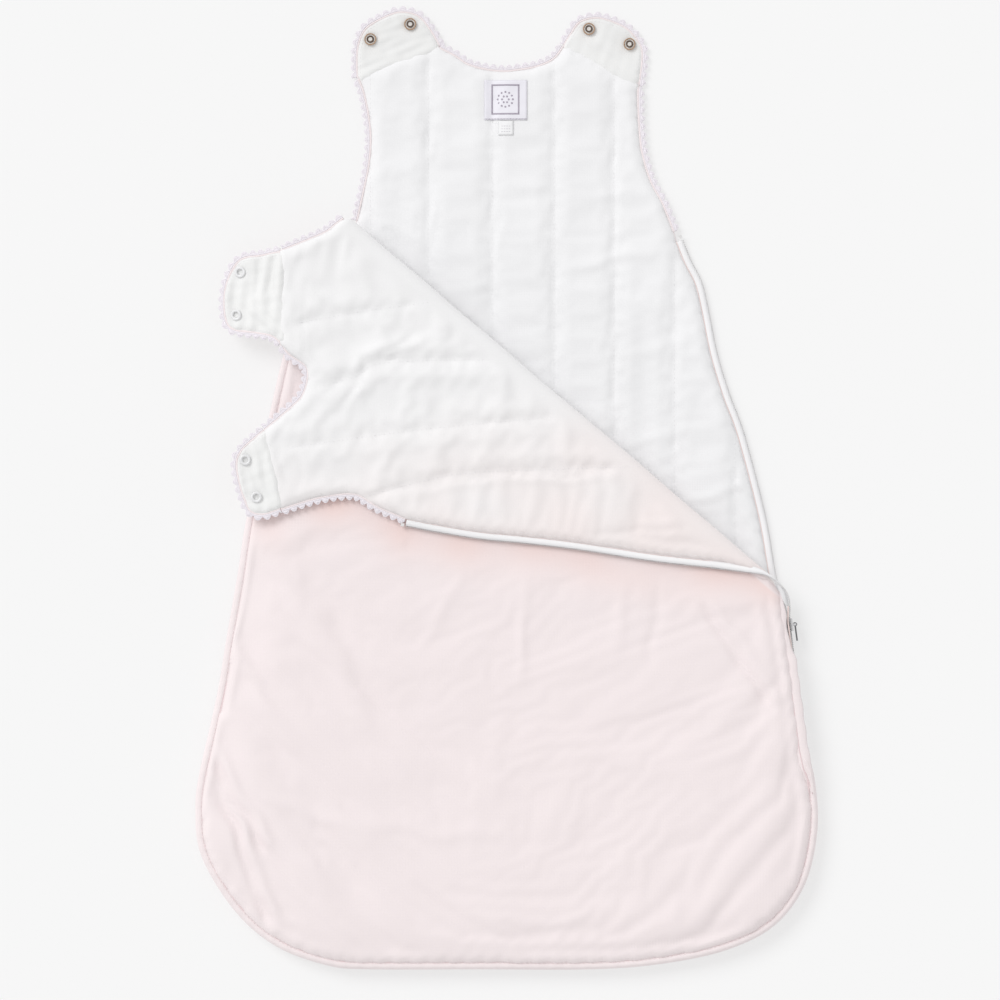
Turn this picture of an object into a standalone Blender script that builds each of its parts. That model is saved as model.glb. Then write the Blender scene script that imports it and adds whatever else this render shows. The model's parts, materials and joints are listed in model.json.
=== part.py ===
"""A quilted baby sleeping bag, laid on its back with its front unzipped and folded down.

Every panel is three layers with a small gap between them: outer cloth, wadding, lining.
The back panel lies on the ground. The lower half of the front panel lies over it, with the
hollow of the bag between. The upper half, the flap, is turned over along a slanting fold, so
its lining faces up and its two shoulder tabs point left. A zip joins the right edges of the
front and back: it is closed below its slider and open above. Picot trim runs round the
neck, the armholes and the tabs, and each tab carries two press snaps.

+X runs across the bag, +Y towards the neck and +Z up. The origin is under the middle of the
bag, on the ground. Sizes are in millimetres, and new_object() turns them into metres.
Edge lines run anticlockwise seen from above, so the cloth is always on their left.
"""

from itertools import product
from math import asin, cos, pi, radians, sin
from typing import NamedTuple

import bmesh
import bpy
from mathutils import Matrix, Vector

MM = 0.001

# Layers of a panel, and the clearance between any two pieces that touch.
OUTER = 1.4
WADDING = 4.2
LINING = 1.2
GAP = 0.3
PANEL = OUTER + WADDING + LINING + 2 * GAP

# Heights above the ground.
CAVITY = 7.0
FRONT_BOTTOM = PANEL + CAVITY
FRONT_TOP = FRONT_BOTTOM + PANEL
FOLD_HEIGHT = FRONT_TOP + 0.2
FLAP_BOTTOM = FOLD_HEIGHT + 0.2

# Widths of what runs along the edges.
SEAM_WIDTH = 5.5
TRIM_WIDTH = 3.5
TRIM_THICKNESS = 1.2
BACK_TRIM_BOTTOM = 3.4
FLAP_TRIM_BOTTOM = FLAP_BOTTOM + 3.0
TAB_TRIM_RISE = 1.0
TAPE_WIDTH = 5.0
TAPE_THICKNESS = 0.7

# Shoulder tabs: two thin cloths, with a snap half through them at each snap place.
TAB_CLOTH = 1.4
CAP_HEIGHT = 0.7
SOCKET_HEIGHT = 1.7
SNAP_RADIUS = 4.4
SNAP_HOLE = 2.1
SNAP_ROUNDING = 0.3
STUD_RADIUS = 1.8
STUD_HOLE = 0.6
STUD_FLANGE = 0.5

# The fold's roll is a round bar of cloth along the flap's hinge line, from its start to its
# end along that line. The lower half of the front stops just short of it.
FOLD_LEFT = Vector((-115.0, 186.7))
FOLD_RIGHT = Vector((182.4, -65.8))
FOLD_RADIUS = 7.8
FOLD_START = 9.0
FOLD_END = 357.0
FOLD_SIDES = 18
FRONT_FOLD_EDGE = [Vector((181.5, -66.0)), Vector((-110.5, 181.8))]

# Side seam, hem and side seam, from the left armhole round to the bottom of the zip.
SEAM_EDGE = [
    (-118, 184), (-137, 164), (-151, 123), (-161, 100), (-172, 54), (-189, -23),
    (-195, -61), (-204, -113), (-209, -144), (-215, -172), (-223, -207), (-226, -232),
    (-222, -267), (-198, -307), (-168, -333), (-131, -347), (-100, -350), (-20, -350),
    (62, -350), (113, -346), (160, -336), (195, -318), (217, -288), (226, -248),
    (224, -212), (219, -196),
]

# The zip, from its bottom end up the back panel's right edge to the armhole.
ZIP_BOTTOM = Vector((216.5, -190.0))
ZIP_MEETING = Vector((204.0, -97.0))
ZIP_OPEN_EDGE = [
    (199, -78), (195, -60), (188, -20), (173, 38), (162, 68), (153, 98), (147, 128),
    (142, 149), (134, 165), (128, 180),
]
ZIP_FLAT_FROM = -60.0
ZIP_UPRIGHT_BELOW = -94.0
ZIP_HALF_HEIGHT = (9.95, 12.05)
ZIP_TURNS_OVER_ABOVE = -80.0
UPRIGHT_CLEARANCE = 2.6
BACK_TAPE_HEIGHT = 3.6
FLAP_TAPE_HEIGHT = FLAP_BOTTOM + 3.3
STOP_HALF_LENGTH = 1.2
STOP_HALF_WIDTH = 1.1
STOP_HEIGHT = 2.4

# The back panel's cloth edges between the zip and the left side seam.
ARMHOLE_RIGHT = [
    (122, 186), (114, 206), (105, 223), (99, 243), (97, 259), (96, 278), (96, 291),
]
NECK = [
    (41, 321), (34, 312), (22, 306.5), (8, 304), (-3, 303), (-18, 305), (-29, 308.5),
    (-37, 314), (-48.5, 320),
]
ARMHOLE_LEFT = [
    (-108, 297), (-104, 287), (-100.5, 270), (-99, 253), (-100.5, 234), (-105, 212),
    (-109, 194),
]
BACK_TAB_RIGHT = [
    (96.5, 292), (99, 315), (95, 326), (86, 335), (71, 341), (61, 341.5), (52, 338),
    (46.5, 330), (41.5, 322),
]
BACK_TAB_LEFT = [
    (-48.5, 321), (-54.5, 332), (-64, 343), (-77, 346), (-89.5, 342), (-102.5, 334),
    (-108, 322), (-109, 308), (-108.5, 298),
]
BACK_TAB_AXIS_HEIGHT = 15.0

# The flap's cloth edges, from the left end of the fold to the top of its zip half.
FLAP_ARMHOLE_LEFT = [(-128, 185.5), (-146, 178.5), (-162, 172)]
FLAP_NECK = [
    (-162, 103), (-158.5, 97), (-149, 90.5), (-144.5, 86), (-144.5, 77), (-148, 66.5),
    (-155, 59), (-169, 47), (-175, 42),
]
FLAP_ARMHOLE_RIGHT = [
    (-163, -16), (-146, -10.5), (-132, -7), (-117, -5), (-107, -6), (-95, -13.5),
    (-80, -20), (-73, -23),
]
FLAP_ZIP_EDGE = [
    (-73, -27.5), (-50, -32), (-19, -37), (12, -40), (54, -45), (102, -52.5), (136, -56.5),
    (151, -58),
]
FLAP_ZIP_END = (158, -58.8)
FRONT_TAB_LEFT = [
    (-163.8, 171), (-179, 168), (-191, 166.5), (-198.5, 161), (-204, 150), (-206.5, 138),
    (-206, 125), (-203, 117), (-196, 113.5), (-183, 112), (-170.5, 109.5), (-163.8, 104.5),
]
FRONT_TAB_RIGHT = [
    (-175.7, 41.5), (-184, 34.5), (-191, 28), (-195.5, 18.5), (-193.5, 3.5), (-189.5, -9.5),
    (-185, -17.5), (-176, -19.5), (-163.7, -15.5),
]
FRONT_TAB_DROOP = 14.0

# The stretch of front zip tape that turns over with the fold: its edge line, and which way
# the tape reaches from there.
UP = (0, 0, 1)
ALONG_FOLD = (-0.76, 0.65, 0)
ZIP_TURN = [
    ((204.3, -86, 13.0), (-0.1, 0.0, 1.0)),
    ((202.6, -76, 17.0), (-0.35, 0.2, 0.9)),
    ((197.0, -68.5, 22.0), (-0.7, 0.5, 0.5)),
    ((188.0, -63.5, 26.0), ALONG_FOLD),
    ((177.0, -61.6, 27.0), ALONG_FOLD),
    ((168.0, -60.4, 27.0), ALONG_FOLD),
]


class Hinge(NamedTuple):
    """Where a piece turns or slides: its origin goes to the point, and it droops by turning
    backwards about the axis."""

    point: tuple
    axis: tuple
    droop: float = 0.0


FIXED = Hinge((0, 0, 0), (0, 0, 1))
FLAP_HINGE = Hinge((33.7, 60.45, FOLD_HEIGHT), (0.7624, -0.6471, 0))
BACK_TAB_LEFT_HINGE = Hinge((-78.5, 308.8, BACK_TAB_AXIS_HEIGHT), (0.9327, 0.3606, 0))
BACK_TAB_RIGHT_HINGE = Hinge((68.7, 306.3, BACK_TAB_AXIS_HEIGHT), (0.8779, -0.4788, 0))
FRONT_TAB_BOTTOM = FLAP_BOTTOM + SOCKET_HEIGHT + GAP
FRONT_TAB_TOP = FRONT_TAB_BOTTOM + 2 * TAB_CLOTH + GAP
FRONT_TAB_LEFT_HINGE = Hinge((-162.3, 137.5, FRONT_TAB_TOP), (0, 1, 0), FRONT_TAB_DROOP)
FRONT_TAB_RIGHT_HINGE = Hinge((-169.2, 13, FRONT_TAB_TOP), (-0.2026, 0.9793, 0))

# The slider rides the closed zip. Its own frame is: out of the bag, down the zip, up.
SLIDER_CENTRE = Vector((204.4, -100.0, 11.0))
DOWN_ZIP = Vector((0.1332, -0.9911, 0.0))
OUT_OF_ZIP = Vector((0.9911, 0.1332, 0.0))
COIL_WIDTH = 1.8
COIL_LOW = 0.8
COIL_HIGH = 1.95
SLIDER_PLATE = 1.2
SLIDER_HALF_LENGTH = 4.5
SLIDER_HALF_WIDTH = 3.8
PULLER_PIVOT_OUT = 5.1
PULLER_BAR_RADIUS = 0.5
PULLER_EYE_RADIUS = 1.5
PULLER_THICKNESS = 1.0
PULLER_LENGTH = 12.0
PULLER_WIDTH = 4.0

# Labels: left, right, bottom and top edges, and thickness.
NECK_LABEL = (-16.0, 15.0, 267.0, 296.0, 0.8)
CARE_LABEL = (-6.0, 5.0, 256.0, 266.5, 0.5)


# ---------------------------------------------------------------- materials


def material(name, colour, roughness, metallic=0.0):
    """A plain material with one colour."""
    made = bpy.data.materials.get(name)
    if made:
        return made
    made = bpy.data.materials.new(name)
    made.use_nodes = True
    shader = made.node_tree.nodes["Principled BSDF"]
    shader.inputs["Base Color"].default_value = (*colour, 1.0)
    shader.inputs["Roughness"].default_value = roughness
    shader.inputs["Metallic"].default_value = metallic
    made.diffuse_color = (*colour, 1.0)
    return made


def outer_jersey():
    return material("outer_jersey", (0.86, 0.74, 0.74), 0.9)


def lining_cotton():
    return material("lining_cotton", (0.88, 0.87, 0.88), 0.9)


def wadding_fibre():
    return material("wadding_fibre", (0.92, 0.92, 0.9), 1.0)


def picot_lace():
    return material("picot_lace", (0.84, 0.78, 0.84), 0.8)


def zip_fabric():
    return material("zip_fabric", (0.88, 0.86, 0.86), 0.8)


def zip_nylon():
    return material("zip_nylon", (0.9, 0.87, 0.87), 0.4)


def slider_enamel():
    return material("slider_enamel", (0.85, 0.83, 0.83), 0.3)


def snap_brass():
    return material("snap_brass", (0.55, 0.45, 0.33), 0.3, metallic=1.0)


def snap_enamel():
    return material("snap_enamel", (0.9, 0.9, 0.92), 0.3)


def label_satin():
    return material("label_satin", (0.82, 0.79, 0.86), 0.5)


def label_white():
    return material("label_white", (0.9, 0.9, 0.92), 0.5)


# ---------------------------------------------------------------- shapes


def smooth(points, steps=2):
    """An open curve through the points, with this many straight pieces from each to the next."""
    points = [Vector(point) for point in points]
    ends = [points[0], *points, points[-1]]
    curve = []
    for before, start, stop, after in zip(ends, ends[1:], ends[2:], ends[3:]):
        for step in range(steps):
            t = step / steps
            bend = 2 * before - 5 * start + 4 * stop - after
            twist = 3 * start - before - 3 * stop + after
            curve.append(start + (stop - before) * t / 2 + bend * t**2 / 2 + twist * t**3 / 2)
    curve.append(points[-1])
    return curve


def offset(path, distance):
    """The path moved to its left by the distance, or at each point by its own distance."""
    distances = distance if isinstance(distance, list) else [distance] * len(path)
    moved = []
    for i, (point, away) in enumerate(zip(path, distances)):
        ahead = path[min(i + 1, len(path) - 1)] - path[max(i - 1, 0)]
        left = Vector((-ahead.y, ahead.x)).normalized()
        moved.append(point + left * away)
    return moved


def new_object(name, vertices, faces, look, hinge=FIXED):
    """An object with these faces, its origin on its hinge."""
    point = Vector(hinge.point)
    mesh = bpy.data.meshes.new(name)
    mesh.from_pydata([(Vector(v) - point) * MM for v in vertices], [], faces)
    solid = bmesh.new()
    solid.from_mesh(mesh)
    bmesh.ops.recalc_face_normals(solid, faces=solid.faces)
    solid.to_mesh(mesh)
    solid.free()
    mesh.materials.append(look)
    made = bpy.data.objects.new(name, mesh)
    turn = Matrix.Rotation(-radians(hinge.droop), 4, Vector(hinge.axis))
    made.matrix_world = Matrix.Translation(point * MM) @ turn
    bpy.context.scene.collection.objects.link(made)
    return made


def slab(name, outline, bottom, thickness, look, hinge=FIXED):
    """A flat plate with this outline."""
    low = [(p.x, p.y, bottom) for p in outline]
    high = [(p.x, p.y, bottom + thickness) for p in outline]
    return new_object(name, low + high, loft_faces(2, len(outline)), look, hinge)


def strip(name, path, right, left, bottom, thickness, look, hinge=FIXED):
    """A flat plate along a path, between two distances to its left. Negative is right."""
    outline = offset(path, right) + offset(path, left)[::-1]
    return slab(name, outline, bottom, thickness, look, hinge)


def moulding(name, path, section, look):
    """A section swept along a flat path. The section is a loop of (distance left, height)."""
    runs = [(offset(path, left), height) for left, height in section]
    vertices = [(run[i].x, run[i].y, height) for i in range(len(path)) for run, height in runs]
    return new_object(name, vertices, loft_faces(len(path), len(section)), look)


def loft_faces(rings, count):
    """Faces that join rings of this many vertices each, one after another, and close the ends."""
    faces = [tuple(range(count)), tuple(range((rings - 1) * count, rings * count))]
    for start in range(0, (rings - 1) * count, count):
        for k in range(count):
            here, following = start + k, start + (k + 1) % count
            faces.append((here, following, following + count, here + count))
    return faces


def ribbon(name, edge, reaches, near, far, low, high, look, hinge=FIXED):
    """A band swept along an edge line in space. At each point it reaches from near to far in
    the direction given there, and from low to high square to that."""
    vertices = []
    for i, (point, reach) in enumerate(zip(edge, reaches)):
        ahead = (edge[min(i + 1, len(edge) - 1)] - edge[max(i - 1, 0)]).normalized()
        across = (reach - ahead * reach.dot(ahead)).normalized()
        outward = ahead.cross(across)
        for u, v in ((near, low), (far, low), (far, high), (near, high)):
            vertices.append(point + across * u + outward * v)
    return new_object(name, vertices, loft_faces(len(edge), 4), look, hinge)


def turned(name, centre, profile, look, hinge=FIXED, segments=20):
    """A round piece about a vertical line: the profile is a closed loop of radius, height."""
    vertices = []
    for i in range(segments):
        angle = 2 * pi * i / segments
        for radius, height in profile:
            vertices.append(
                (centre.x + radius * cos(angle), centre.y + radius * sin(angle), height)
            )
    count = len(profile)
    faces = []
    for i in range(segments):
        here, there = i * count, (i + 1) % segments * count
        for k in range(count):
            following = (k + 1) % count
            faces.append((here + k, here + following, there + following, there + k))
    made = new_object(name, vertices, faces, look, hinge)
    for face in made.data.polygons:
        face.use_smooth = True
    return made


def slider_block(name, low, high, look):
    """A box in the slider's own frame: out of the bag, down the zip, up."""
    corners = product(*zip(low, high))
    faces = [(0, 1, 3, 2), (4, 5, 7, 6), (0, 1, 5, 4), (2, 3, 7, 6), (0, 2, 6, 4), (1, 3, 7, 5)]
    hinge = Hinge(tuple(SLIDER_CENTRE), tuple(DOWN_ZIP))
    return new_object(name, [slider_point(*c) for c in corners], faces, look, hinge)


def slider_point(out, down, up):
    return SLIDER_CENTRE + OUT_OF_ZIP * out + DOWN_ZIP * down + Vector((0, 0, up))


def upright_rod(name, centre, radius, height, segments=16):
    """A helper cylinder with its length along Z."""
    bpy.ops.mesh.primitive_cylinder_add(
        vertices=segments, radius=radius * MM, depth=height * MM, location=centre * MM
    )
    made = bpy.context.object
    made.name = name
    return made


def combine(target, helper, operation):
    """Adds the helper to the target or cuts it away, and hides the helper."""
    modifier = target.modifiers.new(helper.name, "BOOLEAN")
    modifier.operation = operation
    modifier.solver = "EXACT"
    modifier.object = helper
    helper.hide_render = True
    helper.display_type = "WIRE"


# ---------------------------------------------------------------- pieces


def panel(prefix, outline, bottom, hinge=FIXED, outer_on_top=False):
    """The three layers of a quilted panel."""
    layers = [
        ("outer_shell", OUTER, outer_jersey()),
        ("wadding", WADDING, wadding_fibre()),
        ("lining", LINING, lining_cotton()),
    ]
    if outer_on_top:
        layers.reverse()
    for layer, thickness, look in layers:
        slab(f"{prefix}_{layer}", outline, bottom, thickness, look, hinge)
        bottom += thickness + GAP


def zip_turn(y):
    """How far the zip has turned at this place: 0 where it lies flat, 1 where it stands up."""
    share = (ZIP_FLAT_FROM - y) / (ZIP_FLAT_FROM - ZIP_UPRIGHT_BELOW)
    share = min(max(share, 0.0), 1.0)
    return share * share * (3 - 2 * share)


def back_zip_edge():
    """The zip's edge line on the back panel, from its bottom end to the armhole."""
    return [ZIP_BOTTOM] + smooth([ZIP_MEETING, *ZIP_OPEN_EDGE])


def zip_side_cloth_edge():
    """The panels' edge beside the zip: close to it where it stands up, a tape's width away
    where it lies flat."""
    edge = back_zip_edge()
    tape_reach = [TAPE_WIDTH * cos(zip_turn(p.y) * pi / 2) for p in edge]
    return offset(edge, [max(reach + 3 * GAP, UPRIGHT_CLEARANCE) for reach in tape_reach])


def back_panel():
    outline = (
        offset(smooth(SEAM_EDGE), SEAM_WIDTH + GAP)
        + zip_side_cloth_edge()
        + smooth(ARMHOLE_RIGHT)
        + smooth(NECK)
        + smooth(ARMHOLE_LEFT)
    )
    panel("back", outline, 0.0)


def front_panel():
    """The lower half of the front, up to the fold."""
    beside_zip = [p for p in zip_side_cloth_edge() if p.y < ZIP_TURNS_OVER_ABOVE]
    outline = offset(smooth(SEAM_EDGE), SEAM_WIDTH + GAP) + beside_zip + FRONT_FOLD_EDGE
    panel("front", outline, FRONT_BOTTOM, outer_on_top=True)


def front_fold():
    """The roll where the front turns over, lining outermost, with a quarter cut out for the
    panel below it."""
    along = (FOLD_RIGHT - FOLD_LEFT).normalized()
    outwards = Vector((-along.y, along.x))
    section = [(0.0, GAP / 2), (0.0, -FOLD_RADIUS)]
    for step in range(1, FOLD_SIDES):
        angle = -pi / 2 + 1.5 * pi * step / FOLD_SIDES
        section.append((FOLD_RADIUS * cos(angle), FOLD_RADIUS * sin(angle)))
    section.append((-FOLD_RADIUS, GAP / 2))
    vertices = []
    for end in (FOLD_START, FOLD_END):
        for out, up in section:
            spot = FOLD_LEFT + along * end + outwards * out
            vertices.append((spot.x, spot.y, FOLD_HEIGHT + up))
    new_object("front_fold", vertices, loft_faces(2, len(section)), lining_cotton())


def edge_seam():
    """The topstitched seam that closes the sides and the hem, rounded on the outside."""
    middle, quarter = FRONT_TOP / 2, FRONT_TOP / 5
    section = [
        (SEAM_WIDTH, 0.0),
        (SEAM_WIDTH / 2, 0.0),
        (SEAM_WIDTH / 8, quarter),
        (0.0, middle),
        (SEAM_WIDTH / 8, FRONT_TOP - quarter),
        (SEAM_WIDTH / 2, FRONT_TOP),
        (SEAM_WIDTH, FRONT_TOP),
    ]
    moulding("edge_seam", smooth(SEAM_EDGE), section, outer_jersey())


def flap_panel():
    """The upper half of the front, turned over, without its tabs."""
    outline = (
        smooth(FLAP_ARMHOLE_LEFT)
        + smooth(FLAP_NECK)
        + smooth(FLAP_ARMHOLE_RIGHT)
        + offset(smooth(FLAP_ZIP_EDGE), TAPE_WIDTH + GAP)
    )
    panel("flap", outline, FLAP_BOTTOM, FLAP_HINGE)


def trim(name, points, bottom, hinge=FIXED):
    """Picot trim outside a cloth edge."""
    path = smooth(points)[1:-1]
    strip(name, path, -GAP - TRIM_WIDTH, -GAP, bottom, TRIM_THICKNESS, picot_lace(), hinge)


def trims():
    trim("back_neck_trim", NECK[1:-1], BACK_TRIM_BOTTOM)
    trim("back_armhole_trim_right", ARMHOLE_RIGHT[1:], BACK_TRIM_BOTTOM)
    trim("back_armhole_trim_left", ARMHOLE_LEFT[:-1], BACK_TRIM_BOTTOM)
    for name, points in (
        ("front_armhole_trim_left", FLAP_ARMHOLE_LEFT),
        ("front_neck_trim", FLAP_NECK[1:-1]),
        ("front_armhole_trim_right", FLAP_ARMHOLE_RIGHT[1:]),
    ):
        trim(name, points, FLAP_TRIM_BOTTOM, FLAP_HINGE)


def snap_ring(name, centre, bottom, height, look, hinge):
    """A snap's ring, with its middle open."""
    top, shoulder = bottom + height, SNAP_RADIUS - SNAP_ROUNDING
    profile = [
        (SNAP_HOLE, bottom),
        (shoulder, bottom),
        (SNAP_RADIUS, bottom + SNAP_ROUNDING),
        (SNAP_RADIUS, top - SNAP_ROUNDING),
        (shoulder, top),
        (SNAP_HOLE, top),
    ]
    turned(name, centre, profile, look, hinge)


def snap_stud(name, centre, bottom, height, look, hinge):
    """A snap's stud: a flange against the cloth, with a hollow knob pointing down."""
    flange = bottom + height - STUD_FLANGE
    profile = [
        (STUD_HOLE, bottom),
        (STUD_RADIUS, bottom),
        (STUD_RADIUS, flange),
        (SNAP_RADIUS, flange),
        (SNAP_RADIUS, bottom + height),
        (STUD_HOLE, bottom + height),
    ]
    turned(name, centre, profile, look, hinge)


def tab_cloths(name, points, bottom, hinge):
    """A tab's outer cloth, its facing and its trim."""
    edge = smooth(points)
    slab(f"{name}_outer", edge, bottom, TAB_CLOTH, outer_jersey(), hinge)
    facing = bottom + TAB_CLOTH + GAP
    slab(f"{name}_facing", edge, facing, TAB_CLOTH, lining_cotton(), hinge)
    trim(f"{name}_trim", points, bottom + TAB_TRIM_RISE, hinge)
    return facing + TAB_CLOTH + GAP


def back_tab(name, points, snap_places, hinge):
    """A back shoulder tab. Its sockets are on the lining side, which faces up."""
    above = tab_cloths(name, points, CAP_HEIGHT + GAP, hinge)
    for number, place in enumerate(snap_places, 1):
        centre = Vector(place)
        cap, socket = f"{name}_snap_cap_{number}", f"{name}_snap_socket_{number}"
        snap_ring(cap, centre, 0.0, CAP_HEIGHT, snap_enamel(), hinge)
        snap_ring(socket, centre, above, SOCKET_HEIGHT, snap_brass(), hinge)


def front_tab(name, points, snap_places, hinge):
    """A front shoulder tab, turned over with the flap. Its studs face down."""
    above = tab_cloths(name, points, FRONT_TAB_BOTTOM, hinge)
    for number, place in enumerate(snap_places, 1):
        centre = Vector(place)
        cap, stud = f"{name}_snap_cap_{number}", f"{name}_snap_stud_{number}"
        snap_ring(cap, centre, above, CAP_HEIGHT, snap_enamel(), hinge)
        snap_stud(stud, centre, FLAP_BOTTOM, SOCKET_HEIGHT, snap_brass(), hinge)


def shoulder_tabs():
    back_tab("back_tab_left", BACK_TAB_LEFT, [(-99, 326), (-70, 337)], BACK_TAB_LEFT_HINGE)
    back_tab("back_tab_right", BACK_TAB_RIGHT, [(60, 333.5), (89.5, 322.5)], BACK_TAB_RIGHT_HINGE)
    front_tab("front_tab_left", FRONT_TAB_LEFT, [(-194, 156), (-197, 125)], FRONT_TAB_LEFT_HINGE)
    front_tab("front_tab_right", FRONT_TAB_RIGHT, [(-189, 20), (-181, -7)], FRONT_TAB_RIGHT_HINGE)


def tape_and_coil(suffix, edge, reaches, hinge=FIXED):
    """Half a zip: its tape, and the coil along the tape's edge on the outer side."""
    half_tape, half_coil = TAPE_THICKNESS / 2, COIL_WIDTH / 2
    ribbon(
        f"zip_tape_{suffix}", edge, reaches, 0.0, TAPE_WIDTH, -half_tape, half_tape,
        zip_fabric(), hinge,
    )
    ribbon(
        f"zip_coil_{suffix}", edge, reaches, -half_coil, half_coil, COIL_LOW, COIL_HIGH,
        zip_nylon(), hinge,
    )


def back_zip_half():
    """The back half lies flat beside the armhole and turns to stand up below the slider."""
    path = back_zip_edge()
    inside = [a - b for a, b in zip(offset(path, 1.0), path)]
    edge, reaches = [], []
    for point, inwards in zip(path[::-1], inside[::-1]):
        turn = zip_turn(point.y)
        height = BACK_TAPE_HEIGHT + (ZIP_HALF_HEIGHT[0] - BACK_TAPE_HEIGHT) * turn
        edge.append(Vector((point.x, point.y, height)))
        flat = cos(turn * pi / 2)
        reaches.append(Vector((inwards.x * flat, inwards.y * flat, -sin(turn * pi / 2))))
    tape_and_coil("back", edge, reaches)


def front_zip_lower_half():
    """The front half stands up in the closed stretch, then turns over with the fold."""
    bottom, meeting = [Vector((p.x, p.y, ZIP_HALF_HEIGHT[1])) for p in (ZIP_BOTTOM, ZIP_MEETING)]
    edge = [bottom] + smooth([meeting] + [point for point, _ in ZIP_TURN], 4)
    reaches = [Vector(UP)] + smooth([UP] + [reach for _, reach in ZIP_TURN], 4)
    tape_and_coil("front_lower", edge, reaches)


def front_zip_upper_half():
    path = smooth([*FLAP_ZIP_EDGE, FLAP_ZIP_END])[::-1]
    edge = [Vector((p.x, p.y, FLAP_TAPE_HEIGHT)) for p in path]
    inside = [b - a for a, b in zip(offset(path, 1.0), path)]
    reaches = [Vector((p.x, p.y, 0.0)) for p in inside]
    tape_and_coil("front_upper", edge, reaches, FLAP_HINGE)


def zip_stop(name, centre, direction, bottom, height, hinge=FIXED):
    """A small clamp across the end of a zip half."""
    ahead = Vector(direction).normalized() * STOP_HALF_LENGTH
    ends = [Vector(centre) - ahead, Vector(centre) + ahead]
    sides = (-STOP_HALF_WIDTH, STOP_HALF_WIDTH)
    strip(name, ends, *sides, bottom, height, slider_enamel(), hinge)


def zip_stops():
    low, high = ZIP_HALF_HEIGHT
    beyond = ZIP_BOTTOM + Vector(DOWN_ZIP.xy) * 1.5 * STOP_HALF_LENGTH
    low, high = low - STOP_HEIGHT / 2, high + STOP_HEIGHT / 2
    zip_stop("zip_bottom_stop", beyond, DOWN_ZIP.xy, low, high - low)
    back, front = BACK_TAPE_HEIGHT - STOP_HEIGHT / 2, FLAP_TAPE_HEIGHT - STOP_HEIGHT / 2
    zip_stop("zip_top_stop_back", (126.6, 182.4), (-0.5, 0.87), back, STOP_HEIGHT)
    zip_stop("zip_top_stop_front", (-75.2, -27.0), (-1.0, 0.2), front, STOP_HEIGHT, FLAP_HINGE)


def zip_slider():
    """Two plates, one each side of the zip, and the bridge that holds the puller."""
    coil_side = COIL_HIGH + GAP
    plate = slider_plate("zip_slider", coil_side)
    post_inside, post_outside = PULLER_WIDTH / 2 + GAP, PULLER_WIDTH / 2 + SLIDER_PLATE
    post_half = PULLER_BAR_RADIUS + GAP
    for side in (-1, 1):
        low, high = sorted((side * post_inside, side * post_outside))
        post = slider_block(
            f"slider_post_{side}",
            (coil_side + SLIDER_PLATE / 2, -post_half, low),
            (PULLER_PIVOT_OUT + post_half, post_half, high),
            slider_enamel(),
        )
        combine(plate, post, "UNION")
    bar_centre = slider_point(PULLER_PIVOT_OUT, 0, 0)
    bar = upright_rod("slider_bar", bar_centre, PULLER_BAR_RADIUS, post_inside + post_outside)
    combine(plate, bar, "UNION")
    tape_side = -TAPE_THICKNESS / 2 - GAP
    slider_plate("zip_slider_inner_plate", tape_side - SLIDER_PLATE)


def slider_plate(name, inner_side):
    """One of the slider's plates, this far out from the zip's middle."""
    low = (inner_side, -SLIDER_HALF_LENGTH, -SLIDER_HALF_WIDTH)
    high = (inner_side + SLIDER_PLATE, SLIDER_HALF_LENGTH, SLIDER_HALF_WIDTH)
    return slider_block(name, low, high, slider_enamel())


def zip_puller():
    """A tongue with an eye round the slider's bar, hanging down the zip."""
    meeting = asin(PULLER_THICKNESS / 2 / PULLER_EYE_RADIUS)
    outline = []
    for step in range(15):
        angle = meeting + (2 * pi - 2 * meeting) * step / 14
        outline.append((PULLER_EYE_RADIUS * cos(angle), PULLER_EYE_RADIUS * sin(angle)))
    outline += [
        (PULLER_LENGTH, -PULLER_THICKNESS / 2),
        (PULLER_LENGTH, PULLER_THICKNESS / 2),
    ]
    pivot = slider_point(PULLER_PIVOT_OUT, 0, 0)
    vertices = []
    for up in (-PULLER_WIDTH / 2, PULLER_WIDTH / 2):
        for down, out in outline:
            vertices.append(slider_point(PULLER_PIVOT_OUT + out, down, up))
    hinge = Hinge(tuple(pivot), UP)
    faces = loft_faces(2, len(outline))
    puller = new_object("zip_puller", vertices, faces, slider_enamel(), hinge)
    eye = upright_rod("puller_eye", pivot, PULLER_BAR_RADIUS + GAP, 2 * PULLER_WIDTH)
    combine(puller, eye, "DIFFERENCE")


def label(name, left, right, bottom, top, thickness, look):
    """A flat label sewn to the back lining."""
    corners = [(left, bottom), (right, bottom), (right, top), (left, top)]
    slab(name, [Vector(c) for c in corners], PANEL + GAP, thickness, look)


def labels():
    label("neck_label", *NECK_LABEL, label_satin())
    label("care_label", *CARE_LABEL, label_white())


def main():
    for leftover in list(bpy.data.objects):
        bpy.data.objects.remove(leftover)
    back_panel()
    front_panel()
    front_fold()
    edge_seam()
    flap_panel()
    trims()
    shoulder_tabs()
    back_zip_half()
    front_zip_lower_half()
    front_zip_upper_half()
    zip_stops()
    zip_slider()
    zip_puller()
    labels()


main()
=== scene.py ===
"""The looks of a quilted baby sleeping bag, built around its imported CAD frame.

Each panel is made as a flat pad: its cut outline is filled with triangles, given a top and a
bottom cloth, blown up a little by a cloth simulation, and then laid in place. The front is one
cut of cloth that is bent over the fold, so its upper half lies on its lower half with the
lining up. Sizes are in millimetres, and piece() turns them into metres.
"""

import json
from collections import namedtuple
from math import cos, pi, radians, sin, tau

import bmesh
import bpy
import numpy as np
from mathutils import Matrix, Vector
from mathutils.bvhtree import BVHTree
from mathutils.geometry import delaunay_2d_cdt

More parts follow.
